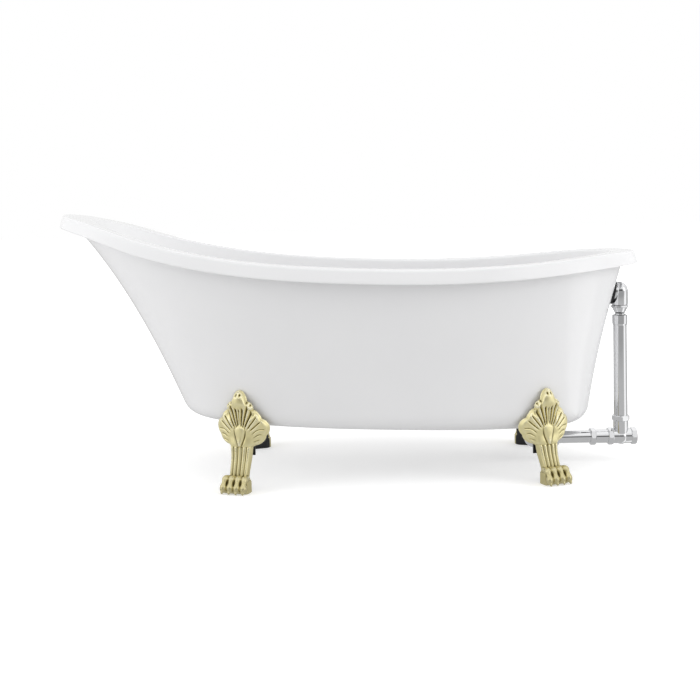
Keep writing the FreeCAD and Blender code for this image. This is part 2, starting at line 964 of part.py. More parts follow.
shoe_top = -(dims.drain_boss_depth + dims.drain_lower_gasket_thickness)
finish(
    at_drain(
        ring(
            "drain_lower_gasket",
            dims.drain_hole_radius,
            dims.shoe_flange_radius,
            shoe_top,
            -dims.drain_boss_depth,
        )
    ),
    "drain_lower_gasket",
)
shoe_axis = dims.waste_axis_height - drain_seat
shoe_neck = shoe_top - dims.shoe_flange_thickness
shoe_dome = [
    (dims.shoe_radius * radius, shoe_axis - dims.shoe_radius * rise)
    for radius, rise in DOME_SHARES
]
shoe_body = at_drain(
    turned(
        "shoe_body",
        [(ZERO, shoe_top), (dims.shoe_flange_radius, shoe_top)]
        + [(dims.shoe_flange_radius, shoe_neck)]
        + [(dims.shoe_radius, shoe_neck - dims.shoe_flange_thickness)]
        + shoe_dome,
    )
)
bore_dome = [
    (dims.shoe_bore_radius * radius, shoe_axis - dims.shoe_bore_radius * rise)
    for radius, rise in DOME_SHARES
]
socket_floor = -(dims.throat_length + dims.drain_seal_thickness)
shoe_room = at_drain(
    turned(
        "shoe_room",
        [(ZERO, ZERO), (dims.shoe_socket_radius, ZERO)]
        + [(dims.shoe_socket_radius, socket_floor), (dims.shoe_bore_radius, socket_floor)]
        + bore_dome,
    )
)
shoe_outlet = place(
    cylinder("shoe_outlet", dims.tube_radius, dims.shoe_reach),
    drain_x,
    ZERO,
    dims.waste_axis_height,
    ALONG,
)
small_socket = dims.drain_tube_radius + dims.slip_gap
shoe_stop = place(
    cylinder("shoe_stop", dims.stop_radius, dims.shoe_reach),
    drain_x,
    ZERO,
    dims.waste_axis_height,
    ALONG,
)
shoe_end = drain_x + dims.shoe_reach
shoe_socket = place(
    cylinder("shoe_socket", small_socket, dims.socket_depth),
    shoe_end - dims.socket_depth,
    ZERO,
    dims.waste_axis_height,
    ALONG,
)
shoe_blank = fuse("shoe_blank", shoe_body, shoe_outlet)
shoe_tools = fuse("shoe_tools", shoe_room, shoe_stop, shoe_socket)
finish(cut("drain_shoe", shoe_blank, shoe_tools), "drain_shoe")

# Slip joints: a nut's heights run from its open end towards the spigot that it screws on


def slip_nut(name, thread_radius, bore_radius):
    """Hexagon slip nut with a washer pocket behind its end wall."""
    corner = dims.nut_corner_radius
    bevel = dims.nut_chamfer
    blank = turned(
        f"{name}_blank",
        [
            (bore_radius, ZERO),
            (corner - bevel, ZERO),
            (corner, bevel),
            (corner, dims.nut_length - bevel),
            (corner - bevel, dims.nut_length),
            (thread_radius, dims.nut_length),
            (thread_radius, dims.nut_end_wall),
            (bore_radius, dims.nut_end_wall),
        ],
    )
    prism = primitive("Prism", f"{name}_prism", Circumradius=corner, Height=dims.nut_length)
    prism.Polygon = NUT_SIDES
    return common(f"{name}_form", blank, prism)


def slip_washer(name, thread_radius, bore_radius):
    return ring(
        f"{name}_form",
        bore_radius,
        thread_radius - dims.slip_gap,
        dims.nut_end_wall,
        slip_length,
    )


tube_bore = dims.tube_radius + dims.slip_gap
spigot_radius = tube_bore + dims.spigot_wall
tee_thread = spigot_radius + dims.slip_gap
tee_nut = slip_nut("tee_nut", tee_thread, tube_bore)
tee_washer = slip_washer("tee_washer", tee_thread, tube_bore)
tube_nut = slip_nut("tube_nut", tube_bore, small_socket)
tube_washer = slip_washer("tube_washer", tube_bore, small_socket)

tee_left = overflow_x - dims.tee_left_reach
tee_right = overflow_x + dims.tee_right_reach
tee_top = dims.waste_axis_height + dims.tee_branch_reach
coupling_end = overflow_x - dims.coupling_reach
axis_z = dims.waste_axis_height.value
joint_seats = {
    "tee_inlet_nut": (tee_nut, (tee_left - slip_length).value, axis_z, ALONG),
    "outlet_nut": (tee_nut, (tee_right + slip_length).value, axis_z, AGAINST),
    "tee_branch_nut": (tee_nut, overflow_x.value, (tee_top + slip_length).value, DOWN),
    "coupling_nut": (tube_nut, coupling_end.value, axis_z, ALONG),
    "shoe_nut": (tube_nut, (shoe_end + slip_length).value, axis_z, AGAINST),
}
washers = {"tee_washers": [], "tube_washers": []}
for name, (nut, x, z, turn) in joint_seats.items():
    seat = Placement(Vector(x, 0, z), turn)
    finish(copy(name, nut, seat), name)
    kind = "tee_washers" if nut is tee_nut else "tube_washers"
    washer = tee_washer if nut is tee_nut else tube_washer
    washers[kind].append(copy(f"{name}_washer", washer, seat))
for name, items in washers.items():
    finish(group(name, *items), name)

# Tee, sleeve and tubes


def along_axis(name, radius, start, end):
    """Cylinder on the waste axis between two stations."""
    item = cylinder(name, radius, end - start)
    return place(item, start, ZERO, dims.waste_axis_height, ALONG)


def upright(name, radius, start, end):
    """Cylinder on the overflow axis between two heights."""
    item = cylinder(name, radius, end - start)
    return place(item, overflow_x, ZERO, start)


belly = primitive("Sphere", "tee_belly", Radius=dims.tee_belly_radius)
place(belly, overflow_x, ZERO, dims.waste_axis_height)
tee_blank = fuse(
    "tee_blank",
    along_axis("tee_run", spigot_radius, tee_left, tee_right),
    upright("tee_branch", spigot_radius, dims.waste_axis_height, tee_top),
    belly,
)
tee_tools = fuse(
    "tee_tools",
    along_axis("tee_run_bore", dims.stop_radius, tee_left, tee_right),
    upright("tee_branch_bore", dims.stop_radius, dims.waste_axis_height, tee_top),
    along_axis("tee_left_socket", tube_bore, tee_left, tee_left + dims.socket_depth),
    along_axis("tee_right_socket", tube_bore, tee_right - dims.socket_depth, tee_right),
    upright("tee_top_socket", tube_bore, tee_top - dims.socket_depth, tee_top),
)
finish(cut("waste_tee", tee_blank, tee_tools), "waste_tee")

sleeve_start = coupling_end + slip_length
sleeve_end = tee_left + dims.socket_depth - dims.seat_gap
sleeve_tools = fuse(
    "sleeve_tools",
    along_axis("sleeve_bore", dims.stop_radius, sleeve_start, sleeve_end),
    along_axis("sleeve_socket", small_socket, sleeve_start, sleeve_start + dims.socket_depth),
)
sleeve_blank = along_axis("sleeve_blank", dims.tube_radius, sleeve_start, sleeve_end)
finish(cut("coupling_sleeve", sleeve_blank, sleeve_tools), "coupling_sleeve")

drain_tube_start = shoe_end - dims.socket_depth + dims.seat_gap
drain_tube_end = sleeve_start + dims.socket_depth - dims.seat_gap
finish(
    place(
        ring(
            "drain_tube",
            dims.drain_tube_radius - dims.tube_wall,
            dims.drain_tube_radius,
            ZERO,
            drain_tube_end - drain_tube_start,
        ),
        drain_tube_start,
        ZERO,
        dims.waste_axis_height,
        ALONG,
    ),
    "drain_tube",
)

tube_low = tee_top - dims.socket_depth + dims.seat_gap
bell_low = dims.tube_top_height - dims.bell_length
bell_start = bell_low - dims.bell_taper
finish(
    place(
        turned(
            "overflow_tube",
            [
                (dims.tube_radius - dims.tube_wall, tube_low),
                (dims.tube_radius, tube_low),
                (dims.tube_radius, bell_start),
                (dims.bell_radius, bell_low),
                (dims.bell_radius, dims.tube_top_height),
                (dims.bell_radius - dims.tube_wall, dims.tube_top_height),
                (dims.bell_radius - dims.tube_wall, bell_low),
                (dims.tube_radius - dims.tube_wall, bell_start),
            ],
        ),
        overflow_x,
    ),
    "overflow_tube",
)
seal_low = dims.tube_top_height - dims.tube_seal_height * 2
finish(
    place(
        ring(
            "tube_seal",
            dims.elbow_neck_radius + dims.slip_gap,
            dims.bell_radius - dims.tube_wall - dims.slip_gap,
            seal_low,
            seal_low + dims.tube_seal_height,
        ),
        overflow_x,
    ),
    "tube_seal",
)

# Overflow elbow, its cone nut, gaskets and plate

nut_low = dims.elbow_nut_height - dims.elbow_nut_flange
cone_nut = place(
    turned(
        "cone_nut",
        [
            (dims.elbow_neck_bore_radius, dims.elbow_neck_end),
            (dims.elbow_neck_radius, dims.elbow_neck_end),
            (dims.elbow_neck_radius, dims.elbow_nut_cone_end),
            (dims.nut_corner_radius - dims.nut_chamfer, nut_low),
            (dims.nut_corner_radius, nut_low + dims.nut_chamfer),
            (dims.nut_corner_radius - dims.nut_chamfer / 2, dims.elbow_nut_height),
            (dims.elbow_neck_bore_radius, dims.elbow_nut_height),
        ],
    ),
    overflow_x,
)
cone_height = dims.elbow_nut_height - dims.elbow_neck_end
cone_prism = primitive(
    "Prism", "cone_prism", Circumradius=dims.nut_corner_radius, Height=cone_height
)
cone_prism.Polygon = NUT_SIDES
place(cone_prism, overflow_x, ZERO, dims.elbow_neck_end)
finish(common("elbow_nut", cone_nut, cone_prism), "elbow_nut")

ball = primitive("Sphere", "elbow_ball", Radius=dims.elbow_ball_radius)
place(ball, overflow_x, ZERO, dims.overflow_height)
shoulder_back = dims.elbow_shoulder_station - dims.elbow_shoulder_thickness
shoulder = at_overflow(
    turned(
        "elbow_shoulder",
        [
            (ZERO, ZERO),
            (dims.elbow_thread_radius, ZERO),
            (dims.elbow_shoulder_radius, shoulder_back),
            (dims.elbow_shoulder_radius, dims.elbow_shoulder_station),
            (dims.elbow_thread_radius, dims.elbow_shoulder_station),
            (dims.elbow_thread_radius, dims.elbow_thread_end),
            (ZERO, dims.elbow_thread_end),
        ],
    )
)
outlet = upright(
    "elbow_outlet", dims.elbow_outlet_radius, dims.elbow_nut_height, dims.overflow_height
)
elbow_blank = fuse("elbow_blank", ball, shoulder, outlet)
ball_bore = primitive("Sphere", "ball_bore", Radius=dims.elbow_bore_radius)
place(ball_bore, overflow_x, ZERO, dims.overflow_height)
elbow_tools = fuse(
    "elbow_tools",
    ball_bore,
    upright("outlet_bore", dims.elbow_bore_radius, dims.elbow_nut_height, dims.overflow_height),
    at_overflow(cylinder("thread_bore", dims.elbow_bore_radius, dims.elbow_thread_end)),
)
elbow_tube = cut("elbow_tube", elbow_blank, elbow_tools)
bridge_span = dims.elbow_bore_radius + dims.elbow_thread_radius
bridge_low = dims.elbow_thread_end - dims.elbow_bridge_depth * 2
bridge = at_overflow(
    padded(
        "elbow_bridge",
        [
            (-(dims.elbow_bridge_width / 2), bridge_low),
            (dims.elbow_bridge_width / 2, bridge_low),
            (dims.elbow_bridge_width / 2, bridge_low + dims.elbow_bridge_depth),
            (-(dims.elbow_bridge_width / 2), bridge_low + dims.elbow_bridge_depth),
        ],
        bridge_span,
        "XZ_Plane",
        True,
    )
)
bridge_hole = at_overflow(
    cylinder(
        "bridge_hole", dims.overflow_screw_radius + dims.slip_gap, dims.elbow_thread_end
    )
)
finish(
    cut("overflow_elbow", fuse("elbow_bridged", elbow_tube, bridge), bridge_hole),
    "overflow_elbow",
)

thread_clear = dims.elbow_thread_radius + dims.seat_gap
face = dims.elbow_shoulder_station
outer_ring = at_overflow(
    turned(
        "outer_gasket_blank",
        [
            (thread_clear, face),
            (dims.outer_gasket_face_radius, face),
            (dims.outer_gasket_radius, face + dims.outer_gasket_bevel),
            (dims.outer_gasket_radius, face + dims.gasket_reach),
            (thread_clear, face + dims.gasket_reach),
        ],
    )
)
finish(cut("overflow_outer_gasket", outer_ring, shell_clear), "overflow_outer_gasket")

inner_ring = at_overflow(
    ring(
        "inner_gasket_blank",
        thread_clear,
        dims.inner_gasket_radius,
        dims.plate_station - dims.gasket_reach,
        dims.plate_station - dims.seat_gap,
    )
)
inner_cut = common("inner_gasket_cut", inner_ring, cavity_form)
nudge = inward.multVec(Vector(0, 0, dims.seat_gap.value))
finish(
    copy("overflow_inner_gasket", inner_cut, Placement(nudge, Rotation())),
    "overflow_inner_gasket",
)

plate_face = dims.plate_station + dims.plate_thickness
plate_dome = [
    (
        dims.plate_radius * radius,
        dims.plate_station + dims.plate_thickness / 2 + dims.plate_thickness / 2 * rise,
    )
    for radius, rise in DOME_SHARES[:-1]
]
plate_blank = at_overflow(
    turned(
        "plate_blank",
        [
            (dims.overflow_screw_radius + dims.slip_gap, dims.plate_station),
            (dims.plate_radius - dims.plate_crown, dims.plate_station),
        ]
        + plate_dome
        + [
            (dims.overflow_screw_head_radius, plate_face),
            (dims.overflow_screw_radius + dims.slip_gap, plate_face),
        ],
    )
)
slot = box("plate_slot", dims.plate_slot_length, dims.plate_slot_width, dims.plate_station)
slot_seats = []
for index in range(PLATE_SLOT_COUNT):
    spin = Rotation(UP, 360 * index / PLATE_SLOT_COUNT)
    start = Vector(dims.plate_slot_start.value, -dims.plate_slot_width.value / 2, 0)
    lift = Placement(Vector(0, 0, (dims.plate_station / 2).value), Rotation())
    head = Vector(overflow_x.value, 0, dims.overflow_height.value)
    seat = Placement(head, inward) * lift * Placement(Vector(), spin) * Placement(start, Rotation())
    slot_seats.append(copy(f"plate_slot_{index}", slot, seat))
finish(cut("overflow_plate", plate_blank, group("plate_slots", *slot_seats)), "overflow_plate")

head_top = plate_face + dims.overflow_screw_head
finish(
    at_overflow(
        turned(
            "overflow_screw",
            [
                (ZERO, bridge_low),
                (dims.overflow_screw_radius, bridge_low),
                (dims.overflow_screw_radius, plate_face),
                (dims.overflow_screw_head_radius, plate_face),
                (dims.overflow_screw_head_radius, head_top - dims.overflow_screw_head / 2),
                (dims.overflow_screw_head_radius - dims.overflow_screw_head / 2, head_top),
                (ZERO, head_top),
            ],
        )
    ),
    "overflow_screw",
)

# Claw foot, drawn once: u outward along X, v along Y; the tub's wall lies behind u = 0

palmette_height = dims.foot_back_height - dims.palmette_base


def palmette_reach(share):
    """How far the palmette's face stands out at a share of its height."""
    rise = (dims.palmette_top_reach - dims.palmette_base_reach) * share
    return dims.palmette_base_reach + rise + dims.palmette_bulge * (4 * share * (1 - share))


def belt(name, inset):
    """Curved casting wall that the palmette's outline is cut from."""
    front = [
        (
            dims.palmette_plan_radius + palmette_reach(share) - inset,
            dims.palmette_base + palmette_height * share,
        )
        for share in BELT_SHARES
    ]
    back = dims.palmette_plan_radius - dims.palmette_back - inset
    top = dims.palmette_base + palmette_height * BELT_SHARES[-1]
    low = dims.palmette_base + palmette_height * BELT_SHARES[0]
    body = turned(name, front + [(back, top), (back, low)], BELT_TURN)
    return place(body, -dims.palmette_plan_radius)


def lobe_point(share, side, scale, lift):
    v = side * dims.palmette_half_width.value * share[0] * scale
    rise = lift + share[1] * scale * (1 - lift)
    return Vector(0, v, (dims.palmette_base + palmette_height * rise).value)


def palmette_outline(name, scale, lift):
    """Scalloped outline: three lobes a side and a bud on top, as arcs through three points."""
    edges = []
    for side in (1, -1):
        for lobe in LOBE_SHARES:
            ends = [lobe_point(share, side, scale, lift) for share in lobe]
            edges.append(Part.Arc(*ends).toShape())
        last = lobe_point(LOBE_SHARES[-1][-1], side, scale, lift)
        edges.append(Part.makeLine(last, lobe_point((LOBE_FOOT_SHARE, 0), side, scale, lift)))
    neck = LOBE_SHARES[0][0]
    bud = [
        lobe_point(neck, -1, scale, lift),
        lobe_point((0, LOBE_CROWN_SHARE), 1, scale, lift),
        lobe_point(neck, 1, scale, lift),
    ]
    edges.append(Part.Arc(*bud).toShape())
    feet = [lobe_point((LOBE_FOOT_SHARE, 0), side, scale, lift) for side in (1, -1)]
    edges.append(Part.makeLine(*feet))
    outline = fixed(f"{name}_outline", Part.Face(Part.Wire(Part.__sortEdges__(edges))))
    item = doc.addObject("Part::Extrusion", name)
    item.Base = outline
    item.DirMode = "Custom"
    item.Dir = Vector(1, 0, 0)
    item.Symmetric = True
    item.Solid = True
    depth = dims.palmette_half_width * 2
    item.LengthFwd = depth.value
    bind(item, "LengthFwd", depth)
    return item


def between(item, start, end):
    """Stand a primitive on one point with its axis towards another."""
    item.Placement = Placement(start, Rotation(UP, end - start))
    return item


def taper_rod(name, start, end, start_radius, end_radius):
    length = (end - start).Length
    rod = doc.addObject("Part::Cone", name)
    rod.Height = length
    rod.Radius1 = start_radius.value
    rod.Radius2 = end_radius.value
    bind(rod, "Radius1", start_radius)
    bind(rod, "Radius2", end_radius)
    return between(rod, start, end)


def knob(name, centre, radius):
    item = primitive("Sphere", name, Radius=radius)
    item.Placement = Placement(centre, Rotation())
    return item


palmette = common(
    "palmette", belt("palmette_belt", ZERO), palmette_outline("palmette_shape", 1.0, 0.0)
)
hollow = common(
    "palmette_hollow",
    belt("palmette_core", dims.palmette_wall),
    palmette_outline("hollow_shape", HOLLOW_SHARE, HOLLOW_LIFT_SHARE),
)

palmette_shell = cut("palmette_shell", palmette, hollow)
foot_pieces = []
for index, (across, rise) in enumerate(RIB_TIP_SHARES):
    for side in (1, -1) if across else (1,):
        radius = dims.palmette_plan_radius + palmette_reach(rise)
        v = side * (dims.palmette_half_width * across).value
        sink = (dims.rib_tip_radius * RIB_SINK_SHARE).value
        u = math.sqrt(radius.value ** 2 - v ** 2) - dims.palmette_plan_radius.value - sink
        tip = Vector(u, v, (dims.palmette_base + palmette_height * rise).value)
        root = Vector(
            dims.palmette_base_reach.value,
            side * (dims.rib_root_spread * across).value,
            (dims.palmette_base + dims.rib_tip_radius).value,
        )
        mark = f"{index}_{'a' if side > 0 else 'b'}"
        shaft = dims.rib_tip_radius * ROD_SHARE
        foot_pieces.append(taper_rod(f"rib_{mark}", root, tip, dims.rib_root_radius, shaft))
        foot_pieces.append(knob(f"rib_tip_{mark}", tip, dims.rib_tip_radius))


drop_top = Vector(
    (dims.palmette_base_reach + dims.palmette_bulge - dims.drop_radius * DROP_SINK_SHARE).value,
    0,
    (dims.palmette_base + dims.drop_rise).value,
)
drop_tip = Vector(
    (dims.palmette_base_reach + dims.drop_tip_radius / 2).value,
    0,
    (dims.palmette_base - dims.drop_tip_radius * 2).value,
)
drop_shaft = dims.drop_radius * ROD_SHARE
foot_pieces.append(taper_rod("drop", drop_tip, drop_top, dims.drop_tip_radius, drop_shaft))
foot_pieces.append(knob("drop_head", drop_top, dims.drop_radius))


def leg_section(name, width, lean_share, back, height):
    """Plan of the leg: flat back, five flutes round the front."""
    half = width.value / 2
    front = (dims.leg_depth - dims.leg_back + dims.leg_lean * lean_share).value
    rounding = dims.leg_depth.value * FRONT_ROUND_SHARE

    def edge_point(share, push):
        return Vector(front - rounding * share * share + push, half * share, height.value)

    edges = []
    for flute in range(FLUTE_COUNT):
        start = -1 + 2 * flute / FLUTE_COUNT
        end = -1 + 2 * (flute + 1) / FLUTE_COUNT
        top = edge_point((start + end) / 2, dims.leg_flute.value)
        edges.append(Part.Arc(edge_point(start, 0), top, edge_point(end, 0)).toShape())
    corners = [
        edge_point(1, 0),
        Vector(back.value, half, height.value),
        Vector(back.value, -half, height.value),
        edge_point(-1, 0),
    ]
    edges += [Part.makeLine(a, b) for a, b in zip(corners, corners[1:])]
    return fixed(name, Part.Wire(edges))


def leg_form(name, sole):
    """Fluted leg that leans outward from the bracket's seat down to the paw."""
    low = sole + dims.paw_height / 2
    rise = dims.palmette_base + dims.rib_tip_radius * 2 - low
    spread = dims.leg_top_width - dims.leg_foot_width
    sections = []
    for index, (share, lean, back_lean) in enumerate(LEG_SHARES):
        width = dims.leg_foot_width + spread * (share * share)
        seat = dims.leg_seat_depth * (1 - min(back_lean, 1))
        back = dims.leg_lean * back_lean - dims.leg_back - seat
        sections.append(leg_section(f"{name}_{index}", width, lean, back, low + rise * share))
    return loft(name, sections)


def paw_form(name, sole):
    """Low block under the toes, its upper edges rounded."""
    points = []
    for along, across in PAW_SHARES:
        reach = dims.paw_start + (dims.paw_front - dims.paw_start) * along
        points.append((reach, -(dims.paw_half_width * across)))
    points += [(u, -v) for u, v in reversed(points)]
    block = padded(f"{name}_block", points, dims.paw_height)
    doc.recompute()
    top = dims.paw_height.value - dims.seat_gap.value
    radius = dims.paw_edge_radius.value
    item = doc.addObject("Part::Fillet", name)
    item.Base = block
    item.Edges = [
        (index, radius, radius)
        for index, edge in enumerate(block.Shape.Edges, 1)
        if edge.BoundBox.ZMin > top
    ]
    return place(item, ZERO, ZERO, sole)


def toe_forms(name, sole):
    """Four toes bent over the front of the paw, each with a claw."""
    pieces = []
    shaft = dims.toe_radius * ROD_SHARE
    for index, step in enumerate(TOE_PLACES):
        fan = math.radians(dims.toe_fan.value * step)
        v = dims.toe_pitch.value * step * TOE_ROOT_SHARE

        def along(reach, height):
            run = (reach - dims.toe_back).value
            u = dims.toe_back.value + run * math.cos(fan)
            return Vector(u, v + run * math.sin(fan), (sole + height).value)

        root = along(dims.toe_back, dims.toe_back_height)
        knuckle = along(dims.knuckle_reach, dims.knuckle_height)
        front = along(dims.toe_front, dims.toe_front_height)
        claw_root = along(dims.toe_front, dims.claw_height)
        claw_tip = along(dims.claw_reach, dims.claw_height - dims.claw_drop)
        mark = f"{name}_{index}"
        pieces += [
            taper_rod(f"{mark}_upper", root, knuckle, shaft * ROD_SHARE, shaft),
            taper_rod(f"{mark}_lower", knuckle, front, shaft, shaft * ROD_SHARE),
            knob(f"{mark}_root", root, dims.toe_radius),
            knob(f"{mark}_knuckle", knuckle, dims.knuckle_radius),
            knob(f"{mark}_end", front, dims.toe_radius),
            taper_rod(f"{mark}_claw", claw_root, claw_tip, dims.claw_radius, dims.claw_tip_radius),
        ]
    return pieces


leveller_top = dims.leveller_recess + dims.leveller_pad_height + dims.leveller_recess
stud_room = dims.leveller_recess + dims.leveller_stud_length + dims.leveller_recess


def leveller_space(name, sole):
    """Room in the sole for a levelling screw's pad and stud."""
    room = turned(
        name,
        [
            (ZERO, -dims.leveller_recess),
            (dims.leveller_pad_radius + dims.leveller_recess, -dims.leveller_recess),
            (dims.leveller_pad_radius + dims.leveller_recess, leveller_top),
            (dims.leveller_stud_radius + dims.running_gap, leveller_top),
            (dims.leveller_stud_radius + dims.running_gap, stud_room),
            (ZERO, stud_room),
        ],
    )
    return place(room, dims.leveller_reach, ZERO, sole)


bolt_room = place(
    cylinder("bolt_room", dims.bolt_radius + dims.bolt_gap, dims.leg_back + dims.bolt_depth),
    -(dims.leg_back * 2),
    ZERO,
    dims.bolt_height,
    ALONG,
)
seat_width = dims.bracket_width + dims.bolt_gap * 4
bracket_room = place(
    box("bracket_room", dims.bracket_reach, seat_width, dims.palmette_half_width),
    -(dims.leg_back + dims.bracket_reach),
    -(seat_width / 2),
    dims.bracket_foot_height,
)


def foot_form(name, end, corner):
    """Casting for one end of the tub: the palmette's back follows the shell where it stands."""
    wall = copy(f"{name}_wall", shell_clear, SEATS[corner].inverse())
    fitted = cut(f"{name}_palmette", palmette_shell, wall)
    sole = SOLES[end]
    lower = [leg_form(f"{name}_leg", sole), paw_form(f"{name}_paw", sole)]
    lower += toe_forms(f"{name}_toe", sole)
    blank = fuse(f"{name}_blank", fitted, *foot_pieces, *lower)
    room = leveller_space(f"{name}_leveller_room", sole)
    bolt_hole = copy(f"{name}_bolt_hole", bolt_room, bolt_room.Placement)
    bracket_seat = copy(f"{name}_bracket_seat", bracket_room, bracket_room.Placement)
    return cut(f"{name}_form", blank, group(f"{name}_tools", room, bolt_hole, bracket_seat))


feet = {
    -1: foot_form("foot_back", -1, "back_right"),
    1: foot_form("foot_front", 1, "front_right"),
}

# Bracket, one for each end of the tub since the underside slopes


def bracket_form(name, end):
    """Bent plate: bolted to the leg's back, screwed up into the board through the shell."""
    under = plate_height(end)
    top = under + dims.bracket_thickness + dims.bracket_trim
    face = -dims.leg_back
    inner = -(dims.leg_back + dims.bracket_thickness)
    bend = dims.bracket_bend_radius
    blank = padded(
        f"{name}_blank",
        [
            (face, dims.bracket_foot_height),
            (face, top),
            (-dims.bracket_reach, top),
            (-dims.bracket_reach, under),
            (inner - bend, under),
            (inner, under - bend),
            (inner, dims.bracket_foot_height),
        ],
        dims.bracket_width,
        "XZ_Plane",
        True,
    )
    holes = [copy(f"{name}_bolt_hole", bolt_room, bolt_room.Placement)]
    for hand in (-1, 1):
        spread = hand * dims.screw_spread.value
        local = Vector(-dims.screw_reach.value, spread, under.value)
        mark = "a" if hand < 0 else "b"
        holes.append(copy(f"{name}_hole_{mark}", screw_hole, Placement(local, Rotation())))
    return cut(f"{name}_form", blank, group(f"{name}_holes", *holes))


brackets = {-1: bracket_form("bracket_back", -1), 1: bracket_form("bracket_front", 1)}

bolt_back = -(dims.leg_back + dims.bracket_thickness + dims.foot_washer_thickness)
shank = place(
    cylinder("bolt_shank", dims.bolt_radius, dims.bolt_depth - bolt_back - dims.leg_back * 1.5),
    bolt_back,
    ZERO,
    dims.bolt_height,
    ALONG,
)
bolt_head = primitive(
    "Prism", "bolt_head", Circumradius=dims.bolt_head_radius, Height=dims.bolt_head_height
)
bolt_head.Polygon = 6
place(bolt_head, bolt_back - dims.bolt_head_height, ZERO, dims.bolt_height, ALONG)
bolt = fuse("bolt", bolt_head, shank)
washer = place(
    ring(
        "washer",
        dims.bolt_radius + dims.bolt_gap,
        dims.foot_washer_radius,
        ZERO,
        dims.foot_washer_thickness,
    ),
    bolt_back,
    ZERO,
    dims.bolt_height,
    ALONG,
)
leveller = turned(
    "leveller",
    [
        (ZERO, dims.leveller_recess),
        (dims.leveller_pad_radius - dims.leveller_recess, dims.leveller_recess),
        (dims.leveller_pad_radius, dims.leveller_recess * 2),
        (dims.leveller_pad_radius, dims.leveller_recess + dims.leveller_pad_height),
        (dims.leveller_stud_radius, dims.leveller_recess + dims.leveller_pad_height),
        (dims.leveller_stud_radius, dims.leveller_recess + dims.leveller_stud_length),
        (ZERO, dims.leveller_recess + dims.leveller_stud_length),
    ],
)

for end, name in ((-1, "back"), (1, "front")):
    seat = SEATS[f"{name}_right"]
    finish(copy(f"foot_{name}_right", feet[end], seat), f"foot_{name}_right")
    twin = mirrored(f"foot_{name}_twin", feet[end])
    finish(copy(f"foot_{name}_left", twin, SEATS[f"{name}_left"]), f"foot_{name}_left")
    bracket_copy = copy(f"bracket_copy_{name}", brackets[end], seat)
    bracket = cut(f"bracket_{name}_right", bracket_copy, shell_clear)
    finish(bracket, f"bracket_{name}_right")
    finish(mirrored(f"bracket_{name}_left", bracket), f"bracket_{name}_left")

bolts = []
foot_washers = []
for corner, (end, side) in CORNERS.items():
    seat = SEATS[corner]
    stand = Placement(Vector(dims.leveller_reach.value, 0, SOLES[end].value), Rotation())
    finish(copy(f"leveller_{corner}", leveller, seat * stand), f"leveller_{corner}")
    bolts.append(copy(f"bolt_{corner}", bolt, seat))
    foot_washers.append(copy(f"washer_{corner}", washer, seat * washer.Placement))
finish(group("foot_bolts", *bolts), "foot_bolts")
finish(group("foot_washers", *foot_washers), "foot_washers")
finish(group("bracket_screws", *screws), "bracket_screws")

doc.recompute()

for item in doc.Objects:
    if any(word in item.State for word in ("Invalid", "Error")):
        raise RuntimeError(f"{item.Name} did not build: {item.State}")
os.makedirs("parts", exist_ok=True)
for item in finished:
    shape = Part.getShape(item)
    if shape.isNull() or not shape.isValid():
        raise RuntimeError(f"{item.Label} has no valid shape")
    shape.exportStep(f"parts/{item.Label}.step")
    print(item.Label, len(shape.Solids), round(shape.Volume), shape.BoundBox)
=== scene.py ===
import json
import math

import bmesh
import bpy
import numpy as np
from mathutils import Euler, Matrix, Vector


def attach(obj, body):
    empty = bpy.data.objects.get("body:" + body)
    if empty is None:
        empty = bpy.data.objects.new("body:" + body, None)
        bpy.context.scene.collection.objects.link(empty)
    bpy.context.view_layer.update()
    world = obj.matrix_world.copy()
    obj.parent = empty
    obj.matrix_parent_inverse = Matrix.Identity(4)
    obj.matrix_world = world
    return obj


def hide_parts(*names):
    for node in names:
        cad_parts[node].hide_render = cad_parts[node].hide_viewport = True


# Looks of a slipper bathtub on four gilt claw feet. Lengths are millimetres until a mesh is made;
# the stage, the lamps and the camera are in metres.
# +X runs from the high back to the drain end, +Z up, as in the CAD frame.

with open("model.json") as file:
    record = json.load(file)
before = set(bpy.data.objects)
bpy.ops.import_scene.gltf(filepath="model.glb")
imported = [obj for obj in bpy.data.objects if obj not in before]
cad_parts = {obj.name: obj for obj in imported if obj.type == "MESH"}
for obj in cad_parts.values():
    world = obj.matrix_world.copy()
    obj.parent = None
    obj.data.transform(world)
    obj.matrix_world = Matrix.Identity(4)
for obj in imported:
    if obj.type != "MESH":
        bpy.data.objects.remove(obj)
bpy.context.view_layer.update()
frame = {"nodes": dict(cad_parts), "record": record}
MM = 0.001

# Tub sizes, the same values as the CAD model's
MIDDLE = -1.0
HALF_LENGTH = 800.0
HALF_WIDTH = 362.5
BACK_HEIGHT = 741.0
LOW_HEIGHT = 573.3
FRONT_HEIGHT = 602.2
FLOOR_HEIGHT = 153.0
FLOOR_SLOPE = math.radians(2.7)
SHELL_WALL = 5.0
BASIN_WALL = 7.0
BASIN_LIFT = 23.0
SHELL_FLOOR_RADIUS = 55.0
BASIN_FLOOR_RADIUS = 60.0
RIM_DROP = 37.0
RIM_WALL = 6.0
RIM_TAPER = math.tan(math.radians(15))
RIM_EDGE_RADIUS = 8.0
RIM_INNER_RADIUS = 11.0
RIM_LIP_RADIUS = 2.4
PLATE_GAP = 0.3
PLAN_EXPONENT = 2.5
PLAN_EGG = 0.05
DRAIN_X = 512.0
DRAIN_SEAT = 155.3
DRAIN_HOLE_RADIUS = 23.0
DRAIN_RECESS_RADIUS = 37.0
DRAIN_BOSS_RADIUS = 39.0
DRAIN_BOSS_DEPTH = 11.0
DRAIN_ROOM_RADIUS = 42.0
SHELL_SECTIONS = (
    (0.0, 0.575, 0.820, 0.660),
    (0.413, 0.646, 0.861, 0.733),
    (0.660, 0.760, 0.918, 0.847),
    (1.018, 1.004, 1.015, 0.964),
)
